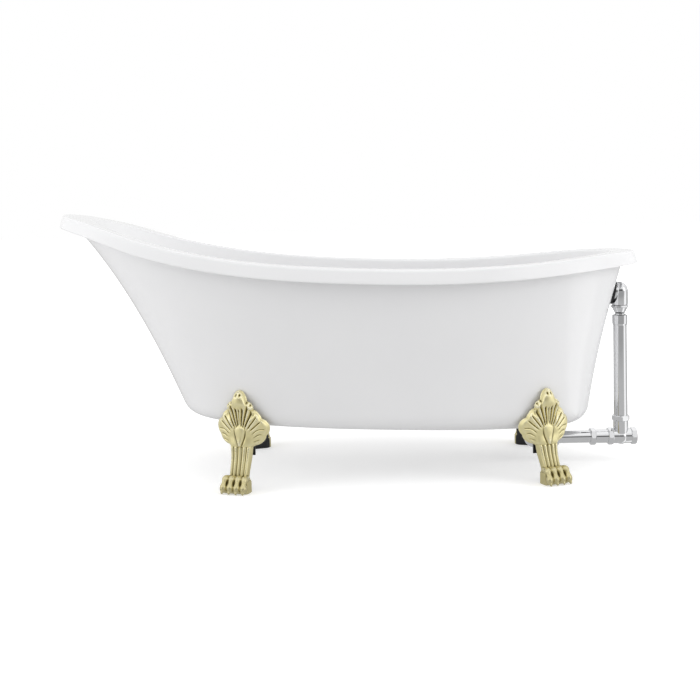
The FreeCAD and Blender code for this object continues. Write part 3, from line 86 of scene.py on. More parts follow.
CAVITY_SECTIONS = (
    (0.0, 0.499, 0.766, 0.530),
    (0.413, 0.580, 0.803, 0.620),
    (0.660, 0.695, 0.861, 0.739),
    (1.018, 0.927, 0.958, 0.865),
)
SHEER = np.array((
    (-1.00, 1.000), (-0.85, 0.813), (-0.70, 0.567), (-0.55, 0.375), (-0.40, 0.236),
    (-0.20, 0.116), (0.06, 0.033), (0.32, 0.000), (0.46, 0.050), (0.62, 0.253),
    (0.78, 0.626), (0.92, 0.910), (1.00, 1.000),
))
SHEER_LOW = 0.32
AROUND = 288

# Meshes


def quads(rows, columns, close_rows, close_columns):
    """Corner indices of a grid's quads, wrapped round where a side is closed."""
    row = np.arange(rows if close_rows else rows - 1)[:, None]
    column = np.arange(columns if close_columns else columns - 1)[None, :]
    next_row = (row + 1) % rows
    next_column = (column + 1) % columns
    corners = (
        row * columns + column,
        row * columns + next_column,
        next_row * columns + next_column,
        next_row * columns + column,
    )
    return np.stack([np.broadcast_to(c, (row.size, column.size)).ravel() for c in corners], 1)


def mesh_of(name, grids, merge=0.01):
    """One mesh of several (points, close rows, close columns) grids, merged and facing outwards."""
    points, faces, start = [], [], 0
    for grid, close_rows, close_columns in grids:
        rows, columns = grid.shape[:2]
        points.append(grid.reshape(-1, 3))
        faces.append(quads(rows, columns, close_rows, close_columns) + start)
        start += rows * columns
    mesh = bpy.data.meshes.new(name)
    mesh.from_pydata(np.concatenate(points) * MM, [], np.concatenate(faces))
    shape = bmesh.new()
    shape.from_mesh(mesh)
    bmesh.ops.remove_doubles(shape, verts=shape.verts, dist=merge * MM)
    bmesh.ops.dissolve_degenerate(shape, edges=shape.edges, dist=merge * MM)
    bmesh.ops.recalc_face_normals(shape, faces=shape.faces)
    shape.to_mesh(mesh)
    shape.free()
    return mesh


def piece(name, mesh, finish, body="tub", replaces=(), crease=math.radians(50)):
    """Put a mesh in the scene as a finished piece that rides on a body."""
    mesh.name = name
    mesh.shade_smooth()
    mesh.set_sharp_from_angle(angle=crease)
    mesh.materials.clear()
    mesh.materials.append(finish)
    item = bpy.data.objects.new(name, mesh)
    bpy.context.scene.collection.objects.link(item)
    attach(item, body)
    if replaces:
        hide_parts(*replaces)
    return item


def unit(vectors):
    return vectors / np.linalg.norm(vectors, axis=-1, keepdims=True)


def rounded(before, corner, after, radius, steps):
    """Arc of one radius that touches the two runs meeting at a corner, slerped about its centre."""
    first = unit(before - corner)
    second = unit(after - corner)
    half = np.arccos(np.clip((first * second).sum(-1, keepdims=True), -1, 1)) / 2
    centre = corner + unit(first + second) * radius / np.sin(half)
    start = corner + first * radius / np.tan(half) - centre
    end = corner + second * radius / np.tan(half) - centre
    sweep = math.pi - 2 * half
    share = np.linspace(0, 1, steps)[:, None, None]
    arc = np.sin((1 - share) * sweep) * start + np.sin(share * sweep) * end
    return centre + arc / np.sin(sweep)


def straight(start, end, steps, skip=True):
    """Rows of points from one ring to another, without the two end rings where they are skipped."""
    share = np.linspace(0, 1, steps + 2)[:, None, None]
    rows = start + (end - start) * share
    return rows[1:-1] if skip else rows


def smooth(low, high, value):
    """Smooth step from 0 at low to 1 at high: 3t^2 - 2t^3."""
    t = np.clip((value - low) / (high - low), 0, 1)
    return t * t * (3 - 2 * t)


# Tub: plan curves, walls and the sheer line


def plan(angle, back, front, half_width):
    """Egg of a superellipse: x = middle + reach c, y = half width s (1 - egg c).

    c and s are the angle's cosine and sine to the power 2/n, with their signs kept.
    """
    power = 2 / PLAN_EXPONENT
    along = np.sign(np.cos(angle)) * np.abs(np.cos(angle)) ** power
    across = np.sign(np.sin(angle)) * np.abs(np.sin(angle)) ** power
    x = (front - back) / 2 + (front + back) / 2 * along
    return x, half_width * across * (1 - PLAN_EGG * along)


def even_angles(count):
    """Plan angles whose points lie evenly along the rim."""
    fine = np.linspace(0, 2 * math.pi, 8001)
    x, y = plan(fine, HALF_LENGTH, HALF_LENGTH, HALF_WIDTH)
    length = np.concatenate([[0], np.cumsum(np.hypot(np.diff(x), np.diff(y)))])
    return np.interp(np.linspace(0, length[-1], count, endpoint=False), length, fine)


ANGLES = even_angles(AROUND)


def section_points(sections, lift, grow, angles):
    """The four rings that a skin is lofted through: one on the sloping floor, three level."""
    rings = []
    for height, back, front, width in sections:
        x, y = plan(
            angles, HALF_LENGTH * back + grow, HALF_LENGTH * front + grow, HALF_WIDTH * width + grow
        )
        if height:
            z = np.full_like(x, BACK_HEIGHT * height)
        else:
            z = FLOOR_HEIGHT - x * math.sin(FLOOR_SLOPE) + lift * math.cos(FLOOR_SLOPE)
            x = x * math.cos(FLOOR_SLOPE) + lift * math.sin(FLOOR_SLOPE)
        rings.append(np.stack([x + MIDDLE, y, z], -1))
    return np.stack(rings)


class Wall:
    """A skin's wall: the cubic through its four rings, by their mean distance apart."""

    def __init__(self, sections, lift=0.0, grow=0.0, angles=ANGLES):
        self.rings = section_points(sections, lift, grow, angles)
        steps = np.linalg.norm(np.diff(self.rings, axis=0), axis=-1).mean(1)
        self.knots = np.concatenate([[0], np.cumsum(steps)]) / steps.sum()

    def at(self, share):
        """Points at a share of the way up; share is one number per column, or rows of them."""
        share = np.asarray(share, float)
        total = 0
        for index, knot in enumerate(self.knots):
            weight = 1.0
            for other in np.delete(self.knots, index):
                weight = weight * (share - other) / (knot - other)
            total = total + weight[..., None] * self.rings[index]
        return total

    def meeting(self, drop):
        """Share at which each column of the wall reaches the sheer line less a drop, by halving."""
        low = np.zeros(self.rings.shape[1])
        high = np.ones_like(low)
        for _ in range(40):
            share = (low + high) / 2
            point = self.at(share)
            above = point[:, 2] > sheer(point[:, 0]) - drop
            high = np.where(above, share, high)
            low = np.where(above, low, share)
        return (low + high) / 2

    def foot_round(self, radius, inner, steps):
        """Arc between the floor and the wall, and the share at which the wall starts above it."""
        corner = self.at(np.zeros(self.rings.shape[1]))
        share = np.full(self.rings.shape[1], radius / np.linalg.norm(
            self.rings[-1] - self.rings[0], axis=-1).mean())
        for _ in range(3):
            along = unit(self.at(share) - corner)
            angle = np.arccos(np.clip((along * unit(inner - corner)).sum(-1), -1, 1))
            wanted = radius / np.tan(angle / 2)
            share = share * wanted / np.linalg.norm(self.at(share) - corner, axis=-1)
        return rounded(inner, corner, self.at(share), radius, steps), share


def spline(x, y):
    """Natural cubic spline through points: returns the function of x."""
    count = len(x)
    step = np.diff(x)
    matrix = np.eye(count)
    right = np.zeros(count)
    for i in range(1, count - 1):
        matrix[i, i - 1:i + 2] = step[i - 1], 2 * (step[i - 1] + step[i]), step[i]
        right[i] = 6 * ((y[i + 1] - y[i]) / step[i] - (y[i] - y[i - 1]) / step[i - 1])
    bend = np.linalg.solve(matrix, right)

    def value(at):
        i = np.clip(np.searchsorted(x, at) - 1, 0, count - 2)
        a, b = x[i + 1] - at, at - x[i]
        curve = (bend[i] * a ** 3 + bend[i + 1] * b ** 3) / (6 * step[i])
        left = (y[i] / step[i] - bend[i] * step[i] / 6) * a
        return curve + left + (y[i + 1] / step[i] - bend[i + 1] * step[i] / 6) * b

    return value


END_HEIGHT = np.where(SHEER[:, 0] < SHEER_LOW, BACK_HEIGHT, FRONT_HEIGHT)
sheer_curve = spline(
    MIDDLE + HALF_LENGTH * SHEER[:, 0], LOW_HEIGHT + (END_HEIGHT - LOW_HEIGHT) * SHEER[:, 1]
)


def sheer(x):
    """Height of the rim's top along the tub."""
    return sheer_curve(np.clip(x, MIDDLE - HALF_LENGTH, MIDDLE + HALF_LENGTH))


def rim_ring(inset, drop):
    """Rim outline at a drop under the sheer line; the rim tapers in as it rises."""
    z = np.full_like(ANGLES, LOW_HEIGHT)
    for _ in range(12):
        x, y = plan(
            ANGLES,
            HALF_LENGTH - inset - (z - BACK_HEIGHT + RIM_DROP) * RIM_TAPER,
            HALF_LENGTH - inset - (z - FRONT_HEIGHT + RIM_DROP) * RIM_TAPER,
            HALF_WIDTH - inset - (z - LOW_HEIGHT + RIM_DROP) * RIM_TAPER,
        )
        z = sheer(x + MIDDLE) - drop
    return np.stack([x + MIDDLE, y, z], -1)


def floor_ring(edge, radius, lift):
    """Ring round the drain, on the sloping floor, one point towards each column of the floor's edge."""
    angle = np.arctan2(edge[:, 1], edge[:, 0] - DRAIN_X)
    x = DRAIN_X + radius * np.cos(angle)
    z = FLOOR_HEIGHT - (x - MIDDLE) * math.tan(FLOOR_SLOPE) + lift
    return np.stack([x, radius * np.sin(angle), z], -1)


def level_ring(edge, radius, height):
    """Level ring round the drain."""
    ring = floor_ring(edge, radius, 0)
    ring[:, 2] = height
    return ring


def wall_rows(wall, start, end, steps):
    """Rows of wall points between two shares, both ends left out."""
    share = np.linspace(0, 1, steps + 2)[1:-1, None]
    return wall.at(start + (end - start) * share)


def outer_skin():
    """Outer skin as a closed thin ring: floor, foot round, wall, top edge and back down inside."""
    outside = Wall(SHELL_SECTIONS)
    inside = Wall(SHELL_SECTIONS, SHELL_WALL, -SHELL_WALL)
    edge = outside.at(np.zeros(AROUND))
    hole = floor_ring(edge, DRAIN_ROOM_RADIUS, 0)
    hole_top = floor_ring(edge, DRAIN_ROOM_RADIUS, SHELL_WALL)
    arc, start = outside.foot_round(SHELL_FLOOR_RADIUS, hole, 14)
    inner_arc, inner_start = inside.foot_round(SHELL_FLOOR_RADIUS - SHELL_WALL, hole_top, 10)
    top = outside.meeting(RIM_WALL + PLATE_GAP)
    inner_top = inside.meeting(RIM_WALL + PLATE_GAP)
    rows = [
        hole[None], straight(hole, arc[0], 8), arc,
        wall_rows(outside, start, top, 46), outside.at(top)[None],
        inside.at(inner_top)[None], wall_rows(inside, inner_start, inner_top, 20)[::-1],
        inner_arc[::-1], straight(inner_arc[0], hole_top, 4), hole_top[None],
    ]
    return np.concatenate(rows)


def basin_skin():
    """Basin with its rim as one closed ring: drain, floor, wall, rim, skirt and back underneath."""
    inside = Wall(CAVITY_SECTIONS, BASIN_LIFT + BASIN_WALL)
    outside = Wall(CAVITY_SECTIONS, BASIN_LIFT, BASIN_WALL)
    edge = inside.at(np.zeros(AROUND))
    hole = level_ring(edge, DRAIN_HOLE_RADIUS, DRAIN_SEAT)
    recess = level_ring(edge, DRAIN_RECESS_RADIUS, DRAIN_SEAT)
    brink = floor_ring(edge, DRAIN_RECESS_RADIUS, BASIN_LIFT + BASIN_WALL)
    arc, start = inside.foot_round(BASIN_FLOOR_RADIUS, brink, 14)
    top = inside.meeting(0)
    inner_corner = inside.at(top)
    outer_corner = rim_ring(0, 0)
    lip = rim_ring(0, RIM_DROP)
    lip_inside = rim_ring(RIM_WALL, RIM_DROP)
    under_plate = rim_ring(RIM_WALL, RIM_WALL)
    bowl_top = outside.meeting(RIM_WALL)
    bowl = outside.at(bowl_top)
    inner_round = rounded(inside.at(top - 0.04), inner_corner, outer_corner, RIM_INNER_RADIUS, 10)
    outer_round = rounded(inner_corner, outer_corner, lip, RIM_EDGE_RADIUS, 10)
    lip_round = rounded(outer_corner, lip, lip_inside, RIM_LIP_RADIUS, 6)
    lip_back = rounded(lip, lip_inside, under_plate, RIM_LIP_RADIUS, 6)
    wall_end = top - RIM_INNER_RADIUS / np.linalg.norm(inside.rings[-1] - inside.rings[0], axis=-1)
    boss = level_ring(edge, DRAIN_BOSS_RADIUS, DRAIN_SEAT - DRAIN_BOSS_DEPTH)
    boss_top = floor_ring(edge, DRAIN_BOSS_RADIUS, BASIN_LIFT)
    hole_end = level_ring(edge, DRAIN_HOLE_RADIUS, DRAIN_SEAT - DRAIN_BOSS_DEPTH)
    under_arc, under_start = outside.foot_round(
        BASIN_FLOOR_RADIUS + BASIN_WALL, boss_top, 10
    )
    rows = [
        hole[None], recess[None], brink[None], straight(brink, arc[0], 10), arc,
        wall_rows(inside, start, wall_end, 40), inner_round,
        straight(inner_round[-1], outer_round[0], 4), outer_round,
        straight(outer_round[-1], lip_round[0], 4), lip_round,
        straight(lip_round[-1], lip_back[0], 1), lip_back,
        straight(lip_back[-1], under_plate, 2), under_plate[None],
        straight(under_plate, bowl, 2), bowl[None],
        wall_rows(outside, under_start, bowl_top, 16)[::-1], under_arc[::-1],
        straight(under_arc[0], boss_top, 4), boss_top[None], boss[None], hole_end[None],
    ]
    return np.concatenate(rows)


# Overflow elbow: a bullet on the tube's axis and a shoulder on the tilted axis through the wall

OVERFLOW_PLACE = np.array((759.0, 0.0, 479.0))
OVERFLOW_TILT = math.radians(11)
BULLET_RADIUS = 23.0
BULLET_LOW = 443.0
BULLET_SPRING = 484.0
BULLET_TOP = 509.0
# Bullet's lower edge: radius and height over its low end
BULLET_EDGE = ((0.0, 0.0), (20.0, 0.0), (22.2, 1.2), (BULLET_RADIUS, 4.0))
# Shoulder and hollow thread: radius and station from the bullet's axis into the tub
SHOULDER = ((0, 42), (15, 42), (15, 72), (19.5, 72), (19.5, 18), (25, 18), (25, 12), (19, 4), (0, 4))


def lathe(profile, place, axis, around=72):
    """Outline of (radius, height) points turned about an axis through a place."""
    profile = np.array(profile, float)
    axis = unit(np.array(axis, float))
    side = unit(np.cross(axis, (0.0, 1.0, 0.0)))
    across = np.cross(axis, side)
    turn = np.linspace(0, 2 * math.pi, around, endpoint=False)[None, :, None]
    ring = np.cos(turn) * side + np.sin(turn) * across
    return place + profile[:, 1, None, None] * axis + profile[:, 0, None, None] * ring


def elbow_grids():
    """Bullet with a quarter-ellipse dome, and the hollow shoulder and thread behind the gasket."""
    quarter = np.linspace(0, math.pi / 2, 16)
    dome_rows = np.stack([
        BULLET_RADIUS * np.cos(quarter),
        BULLET_SPRING + (BULLET_TOP - BULLET_SPRING) * np.sin(quarter),
    ], -1)
    edge_rows = np.array(BULLET_EDGE) + (0.0, BULLET_LOW)
    bullet = lathe(np.concatenate([edge_rows, dome_rows]), OVERFLOW_PLACE * (1, 1, 0), (0, 0, 1))
    axis = (-math.cos(OVERFLOW_TILT), 0.0, math.sin(OVERFLOW_TILT))
    return [(bullet, False, True), (lathe(SHOULDER, OVERFLOW_PLACE, axis), False, True)]


# Claw foot, in its own frame: u outward, v across, z up from the back feet's floor

# Seat of each near foot: station, offset, end, turn, and how far its sole is lifted by a shorter leg
FOOT_SEATS = {"back": (-289.0, 219.0, -1, 18.0, 0.0), "front": (513.0, 191.0, 1, 22.0, 17.0)}
PALMETTE_BASE = 114.0
PALMETTE_HEIGHT = 150.0
PALMETTE_CENTRE = 150.0
PALMETTE_PLAN_RADIUS = 120.0
PALMETTE_WALL = 9.0
PALMETTE_REACH = (12.0, 4.0, 24.0)
# Outline round the centre: angle from straight up and radius at each valley, then at each lobe's tip
LOBE_VALLEYS = np.array((
    (-14.0, 87.0), (14.0, 87.0), (31.4, 72.0), (56.7, 69.0), (96.1, 66.5), (130.2, 51.0), (180.0, 37.0),
))
LOBE_TIPS = np.array((
    (0.0, 114.0), (24.5, 84.0), (44.0, 73.0), (76.0, 77.5), (111.5, 63.0), (155.0, 43.6),
))
# Gaps between the ribs, fanned about a focus: angle from straight up, depth and half width at the tip
FAN_FOCUS = 132.0
GAPS = ((0.0, 3.5, 2.0), (6.6, 7.5, 2.6), (14.6, 7.5, 2.7), (23.6, 7.0, 2.8), (36.0, 4.6, 2.4),
        (48.5, 3.6, 2.4), (63.0, 2.8, 2.6), (78.0, 2.6, 2.6), (94.0, 2.2, 2.6), (112.0, 2.0, 2.4))
BUD_HEIGHTS = np.array((212.0, 222.0, 234.0, 246.0, 256.0, 264.5))
BUD_HALF_WIDTHS = np.array((20.0, 22.0, 20.5, 16.8, 11.5, 1.0))
DROP_HEIGHTS = np.array((108.0, 122.0, 138.0, 152.0, 164.0, 173.0))
DROP_HALF_WIDTHS = np.array((0.4, 5.5, 11.0, 13.8, 11.5, 0.4))
# Carving on the leaf: each place is (distance from the middle, height)
GAP_WAVE = 3.5
GAP_WAVE_LENGTH = 6.5
SPOON_PLACE = (37.0, 200.0)
SPOON_LEAN = (0.86, 0.51)
SPOON_SIZE = (7.5, 13.0)
SPOON_DEPTH = 7.0
CURL_PLACE = (32.5, 225.0)
CURL_RADIUS = 10.5
CURL_HEIGHT = 5.5
CURL_EYE_PLACE = (32.0, 225.0)
CURL_EYE_RADIUS = 3.0
CURL_EYE_DEPTH = 6.5
BUD_HEIGHT = 9.5
BUD_EYE_PLACE = (5.0, 252.0)
BUD_EYE_RADIUS = 2.7
BUD_EYE_DEPTH = 8.0
DROP_HEIGHT = 5.0
NECK_HEIGHT = 6.5
HEM_DEPTH = 1.7
# Casting: size of its skin's cells, passes that even it out, passes that find its hollows
VOXEL = 1.2
EVEN_PASSES = 2
HOLLOW_PASSES = 24
HOLLOW_LIMIT = 4.0


def to_tub(u, v, seat):
    """Place of a foot's (u, v) on the near side of the tub."""
    along, offset, end, turn = seat[:4]
    heading = math.atan2(-math.cos(math.radians(turn)), end * math.sin(math.radians(turn)))
    x = along + u * math.cos(heading) - v * math.sin(heading)
    y = -offset + u * math.sin(heading) + v * math.cos(heading)
    return x, y


def wall_reach(u, v, z, seat):
    """True where a point of the foot's frame lies inside the outer skin."""
    x, y = to_tub(u, v, seat)
    z = z - seat[4]
    height = np.array([FLOOR_HEIGHT] + [BACK_HEIGHT * row[0] for row in SHELL_SECTIONS[1:]])
    shares = np.array([row[1:] for row in SHELL_SECTIONS])
    cubic = np.polyfit(height, shares, 3)
    back, front, width = (np.polyval(cubic[:, i], z) for i in range(3))
    floor = FLOOR_HEIGHT - (x - MIDDLE) * math.tan(FLOOR_SLOPE)
    low = np.clip(SHELL_FLOOR_RADIUS - (z - floor), 0, SHELL_FLOOR_RADIUS)
    inset = SHELL_FLOOR_RADIUS - np.sqrt(SHELL_FLOOR_RADIUS ** 2 - low ** 2)
    back = HALF_LENGTH * back - inset
    front = HALF_LENGTH * front - inset
    width = HALF_WIDTH * width - inset
    share = np.clip((x - MIDDLE - (front - back) / 2) / ((front + back) / 2), -1, 1)
    half = width * (1 - np.abs(share) ** PLAN_EXPONENT) ** (1 / PLAN_EXPONENT)
    return (np.abs(y) < half * (1 - PLAN_EGG * share)) & (z > floor)


def wall_face(v, z, seat):
    """How far out the tub's wall stands behind each point of a foot, by halving."""
    low = np.full_like(v, -60.0)
    high = np.full_like(v, 60.0)
    for _ in range(24):
        mid = (low + high) / 2
        inside = wall_reach(mid, v, z, seat)
        low = np.where(inside, mid, low)
        high = np.where(inside, high, mid)
    return high


def lobed_radius(angle):
    """Palmette outline: straight runs between valleys, with a rounded lobe raised on each."""
    place = np.abs(angle)
    base = np.interp(place, LOBE_VALLEYS[:, 0], LOBE_VALLEYS[:, 1])
    stops = np.ravel(np.column_stack([LOBE_VALLEYS[:-1, 0], LOBE_TIPS[:, 0]]))
    stops = np.append(stops, LOBE_VALLEYS[-1, 0])
    step = np.interp(place, stops, np.arange(len(stops)) / 2)
    lobe = np.minimum(step.astype(int), len(LOBE_TIPS) - 1)
    rise = LOBE_TIPS[:, 1] - np.interp(LOBE_TIPS[:, 0], LOBE_VALLEYS[:, 0], LOBE_VALLEYS[:, 1])
    return base + rise[lobe] * np.sin(math.pi * (step - lobe)) ** 0.75


def dome(share):
    """Half-round height over a share of the half width: sqrt(1 - s^2)."""
    return np.sqrt(np.clip(1 - share ** 2, 0, 1))


def gap_relief(v, z, share):
    """Ribs: a rounded gap along each line of the fan, shut before the leaf's edge and the drop."""
    side = np.abs(v)
    rho = np.hypot(v, z - FAN_FOCUS)
    phi = np.degrees(np.arctan2(side, z - FAN_FOCUS))
    phi = phi + GAP_WAVE * np.sin(rho / GAP_WAVE_LENGTH) * smooth(52, 66, phi)
    relief = 0
    for angle, depth, half in GAPS:
        width = half * (0.45 + 0.55 * rho / 80)
        across = rho * np.radians(phi - angle) / width
        relief = relief - depth * np.exp(-np.abs(across) ** 2.4)
    start = smooth(31, 44, rho)
    stop = 1 - smooth(0.80, 0.93, share)
    return relief * start * stop


def palmette_relief(v, z, share):
    """Height of the leaf's carving over its belt: ribs, spoons, curls, bud, drop and neck."""
    side = np.abs(v)
    bud_height = np.clip(z, BUD_HEIGHTS[0], BUD_HEIGHTS[-1])
    bud_half = np.maximum(spline(BUD_HEIGHTS, BUD_HALF_WIDTHS)(bud_height), 0.5)
    bud = dome(side / bud_half) * (0.6 + 0.4 * dome((z - 238) / 28)) * smooth(204, 232, z)
    bud_room = smooth(1.12, 0.95, side / bud_half) * smooth(208, 222, z)
    relief = gap_relief(v, z, share) * (1 - bud_room)
    spoon_out, spoon_up = side - SPOON_PLACE[0], z - SPOON_PLACE[1]
    across = (spoon_out * SPOON_LEAN[0] - spoon_up * SPOON_LEAN[1]) / SPOON_SIZE[0]
    along = (spoon_out * SPOON_LEAN[1] + spoon_up * SPOON_LEAN[0]) / SPOON_SIZE[1]
    relief = relief - SPOON_DEPTH * np.exp(-across ** 2 - along ** 2)
    curl = np.hypot(side - CURL_PLACE[0], (z - CURL_PLACE[1]) * 0.8)
    curl_eye = np.hypot(side - CURL_EYE_PLACE[0], z - CURL_EYE_PLACE[1])
    relief = relief + CURL_HEIGHT * dome(curl / CURL_RADIUS)
    relief = relief - CURL_EYE_DEPTH * np.exp(-(curl_eye / CURL_EYE_RADIUS) ** 2)
    relief = relief + BUD_HEIGHT * bud
    bud_eye = np.hypot(side - BUD_EYE_PLACE[0], (z - BUD_EYE_PLACE[1]) * 0.75)
    relief = relief - BUD_EYE_DEPTH * np.exp(-(bud_eye / BUD_EYE_RADIUS) ** 2)
    drop_height = np.clip(z, DROP_HEIGHTS[0], DROP_HEIGHTS[-1])
    drop = np.maximum(spline(DROP_HEIGHTS, DROP_HALF_WIDTHS)(drop_height), 0.3)
    relief = relief + DROP_HEIGHT * dome(side / drop) * smooth(176, 140, z)
    relief = relief + NECK_HEIGHT * smooth(146, 114, z) * smooth(40, 24, side)
    hem = np.exp(-((side - drop - 2.0) / 2.2) ** 2) * smooth(112, 122, z) * smooth(182, 168, z)
    return relief - HEM_DEPTH * hem


def palmette(seat):
    """Leaf as a disc round its centre: a bent belt with the carving raised on it, and a plain back."""
    angle = np.linspace(-180, 180, 560, endpoint=False)[None, :]
    share = np.linspace(0, 1, 130)[:, None]
    radius = lobed_radius(angle) * share
    v = radius * np.sin(np.radians(angle))
    z = PALMETTE_CENTRE + radius * np.cos(np.radians(angle))
    rise = np.clip((z - PALMETTE_BASE) / PALMETTE_HEIGHT, -0.1, 1)
    base, lean, bulge = PALMETTE_REACH
    reach = base + lean * rise + bulge * rise * (1 - rise)
    belt = np.sqrt((PALMETTE_PLAN_RADIUS + reach) ** 2 - v ** 2) - PALMETTE_PLAN_RADIUS
    edge = smooth(0.84, 1, share)
    front = belt + palmette_relief(v, z, share) - 7 * edge ** 2
    back = np.maximum(belt - PALMETTE_WALL, wall_face(v, z, seat) + 0.5)
    back = np.minimum(back, front - 2)
    face = np.stack([front, v, z], -1)
    behind = np.stack([back, v, z], -1)
    return np.concatenate([face, behind[::-1]])


# Leg sections upward: share of the way from the paw's middle to the leg's top, front's and back's lean
LEG_SHARES = np.array((
    (0.00, 1.25, 1.25), (0.24, 1.00, 1.00), (0.44, 0.66, 0.50), (0.62, 0.34, 0.08),
    (0.80, 0.12, 0.00), (1.00, 0.00, 0.00), (1.22, -0.10, 0.00),
))
LEG_START = 15.0
LEG_TOP = 128.0
LEG_LEAN = 20.0
LEG_BACK = -10.0
LEG_DEPTH = 27.0
LEG_HALF_WIDTHS = (26.0, 26.5, 27.0, 28.0, 30.0, 34.0, 42.0)
LEG_END = 146.0
LEG_SINK = 14.0
LEG_SINK_START = 111.0
LEG_SINK_END = 132.0
LEG_BLUNTNESS = 0.6
LEG_RIBS = 5
LEG_RIB_DEPTH = 5.0


def leg_sides(z, sole):
    """Front, back and half width of the leg at a height."""
    heights = LEG_START + sole + (LEG_TOP - LEG_START - sole) * LEG_SHARES[:, 0]
    front = spline(heights, LEG_BACK + LEG_DEPTH + LEG_LEAN * LEG_SHARES[:, 1])(z)
    back = spline(heights, LEG_BACK + LEG_LEAN * LEG_SHARES[:, 2])(z)
    return front, back, spline(heights, np.array(LEG_HALF_WIDTHS))(z)


def leg(sole):
    """Leg carried up its height: a blunt superellipse with half-round ribs across its front."""
    z = np.linspace(LEG_START + sole, LEG_END, 90)[:, None]
    turn = np.linspace(0, 2 * math.pi, 240, endpoint=False)[None, :]
    front, back, half = leg_sides(z, sole)
    sink = LEG_SINK * smooth(LEG_SINK_START, LEG_SINK_END, z)
    depth = (front - sink - back) / 2
    across = np.sign(np.sin(turn)) * np.abs(np.sin(turn)) ** LEG_BLUNTNESS
    out = np.sign(np.cos(turn)) * np.abs(np.cos(turn)) ** LEG_BLUNTNESS
    ribs = np.abs(np.sin(math.pi * LEG_RIBS * (across + 1) / 2)) ** 0.6
    u = back + depth + depth * out + LEG_RIB_DEPTH * (ribs - 0.75) * smooth(0.0, 0.5, out)
    v = half * across + 0 * z
    return capped(np.stack([u, v, z + 0 * turn], -1))


def capped(rows):
    """Close a tube of rings with a point at each end."""
    low = np.broadcast_to(rows[0].mean(0), rows[0].shape)[None]
    high = np.broadcast_to(rows[-1].mean(0), rows[-1].shape)[None]
    return np.concatenate([low, rows, high])


# Paw block: half width along its length, then the rounding of its top edge
PAW_REACHES = (16.0, 20.0, 30.0, 52.0, 57.0)
PAW_HALF_WIDTHS = (20.0, 29.0, 36.5, 36.0, 31.0)
PAW_HEIGHT = 33.0
PAW_EDGE = 5.0


def paw_block(sole):
    """Sole of the paw: a flat-sided block, its top edge rounded by a quarter circle."""
    u = np.linspace(PAW_REACHES[0], PAW_REACHES[-1], 60)
    half = np.interp(u, PAW_REACHES, PAW_HALF_WIDTHS)
    outline = np.concatenate([np.stack([u, half], -1), np.stack([u, -half], -1)[::-1]])
    quarter = np.linspace(0, math.pi / 2, 8)
    inset = np.concatenate([np.zeros(16), PAW_EDGE * (1 - np.cos(quarter))])[:, None, None]
    z = np.concatenate([np.linspace(0, PAW_HEIGHT - PAW_EDGE, 16),
                        PAW_HEIGHT - PAW_EDGE + PAW_EDGE * np.sin(quarter)])[:, None]
    centre = np.array((np.mean(PAW_REACHES), 0.0))
    scale = 1 - inset / np.array((PAW_REACHES[-1] - centre[0], max(PAW_HALF_WIDTHS)))
    ring = centre + (outline - centre) * scale
    return capped(np.concatenate([ring, (z + sole + 0 * outline[:, 0])[..., None]], -1))


def swept(points, radii, rings=44, around=36):
    """Round tube of changing radius along the spline through its points."""
    points = np.array(points, float)
    knots = np.concatenate([[0], np.cumsum(np.linalg.norm(np.diff(points, axis=0), axis=1))])
    at = np.linspace(0, knots[-1], rings)
    path = np.stack([spline(knots, points[:, i])(at) for i in range(3)], -1)
    radius = np.maximum(spline(knots, np.array(radii, float))(at), 0.4)
    forward = unit(np.gradient(path, axis=0))
    side = unit(np.cross(forward, (0.0, 0.0, 1.0)))
    above = np.cross(side, forward)
    turn = np.linspace(0, 2 * math.pi, around, endpoint=False)[None, :, None]
    ring = np.cos(turn) * side[:, None] + np.sin(turn) * above[:, None]
    return capped(path[:, None] + radius[:, None, None] * ring)


TOE_PITCH = 17.02
TOE_FAN = math.radians(4)
TOE_ROOT = 34.0
# Along each toe and claw: reach, height and radius
TOE_PATH = ((30, 33, 8.0), (44, 36.5, 8.8), (53, 36, 9.2), (60, 28.5, 6.2), (63.5, 20, 9.0),
            (66, 12, 8.6), (67, 6, 6.4))
CLAW_PATH = ((64, 10, 5.5), (70.5, 7.5, 4.6), (73, 4.5, 3.4), (74, 1.8, 1.6))


def toes(sole):
    """Four toes that fan out, each a knuckled tube with a claw hooked down at its end."""
    grids = []
    for place in (-1.5, -0.5, 0.5, 1.5):
        fan = TOE_FAN * place
        for path in (TOE_PATH, CLAW_PATH):
            points = [
                (u, TOE_PITCH * place + (u - TOE_ROOT) * math.tan(fan), z + sole)
                for u, z, radius in path
            ]
            grids.append(swept(points, [radius for u, z, radius in path]))
    return grids


def merged(mesh, voxel, passes):
    """Skin of a mesh's overlapping bodies as one casting, evened out by a few smoothing passes."""
    item = bpy.data.objects.new("casting", mesh)
    bpy.context.scene.collection.objects.link(item)
    remesh = item.modifiers.new("skin", "REMESH")
    remesh.mode = "VOXEL"
    remesh.voxel_size = voxel * MM
    even = item.modifiers.new("even", "SMOOTH")
    even.factor = 0.5
    even.iterations = passes
    shape = bpy.data.meshes.new_from_object(item.evaluated_get(bpy.context.evaluated_depsgraph_get()))
    bpy.data.objects.remove(item)
    return shape


def coords(mesh):
    points = np.zeros(len(mesh.vertices) * 3)
    mesh.vertices.foreach_get("co", points)
    return points.reshape(-1, 3)


def normals(mesh):
    values = np.zeros(len(mesh.vertices) * 3)
    mesh.vertices.foreach_get("normal", values)
    return values.reshape(-1, 3)


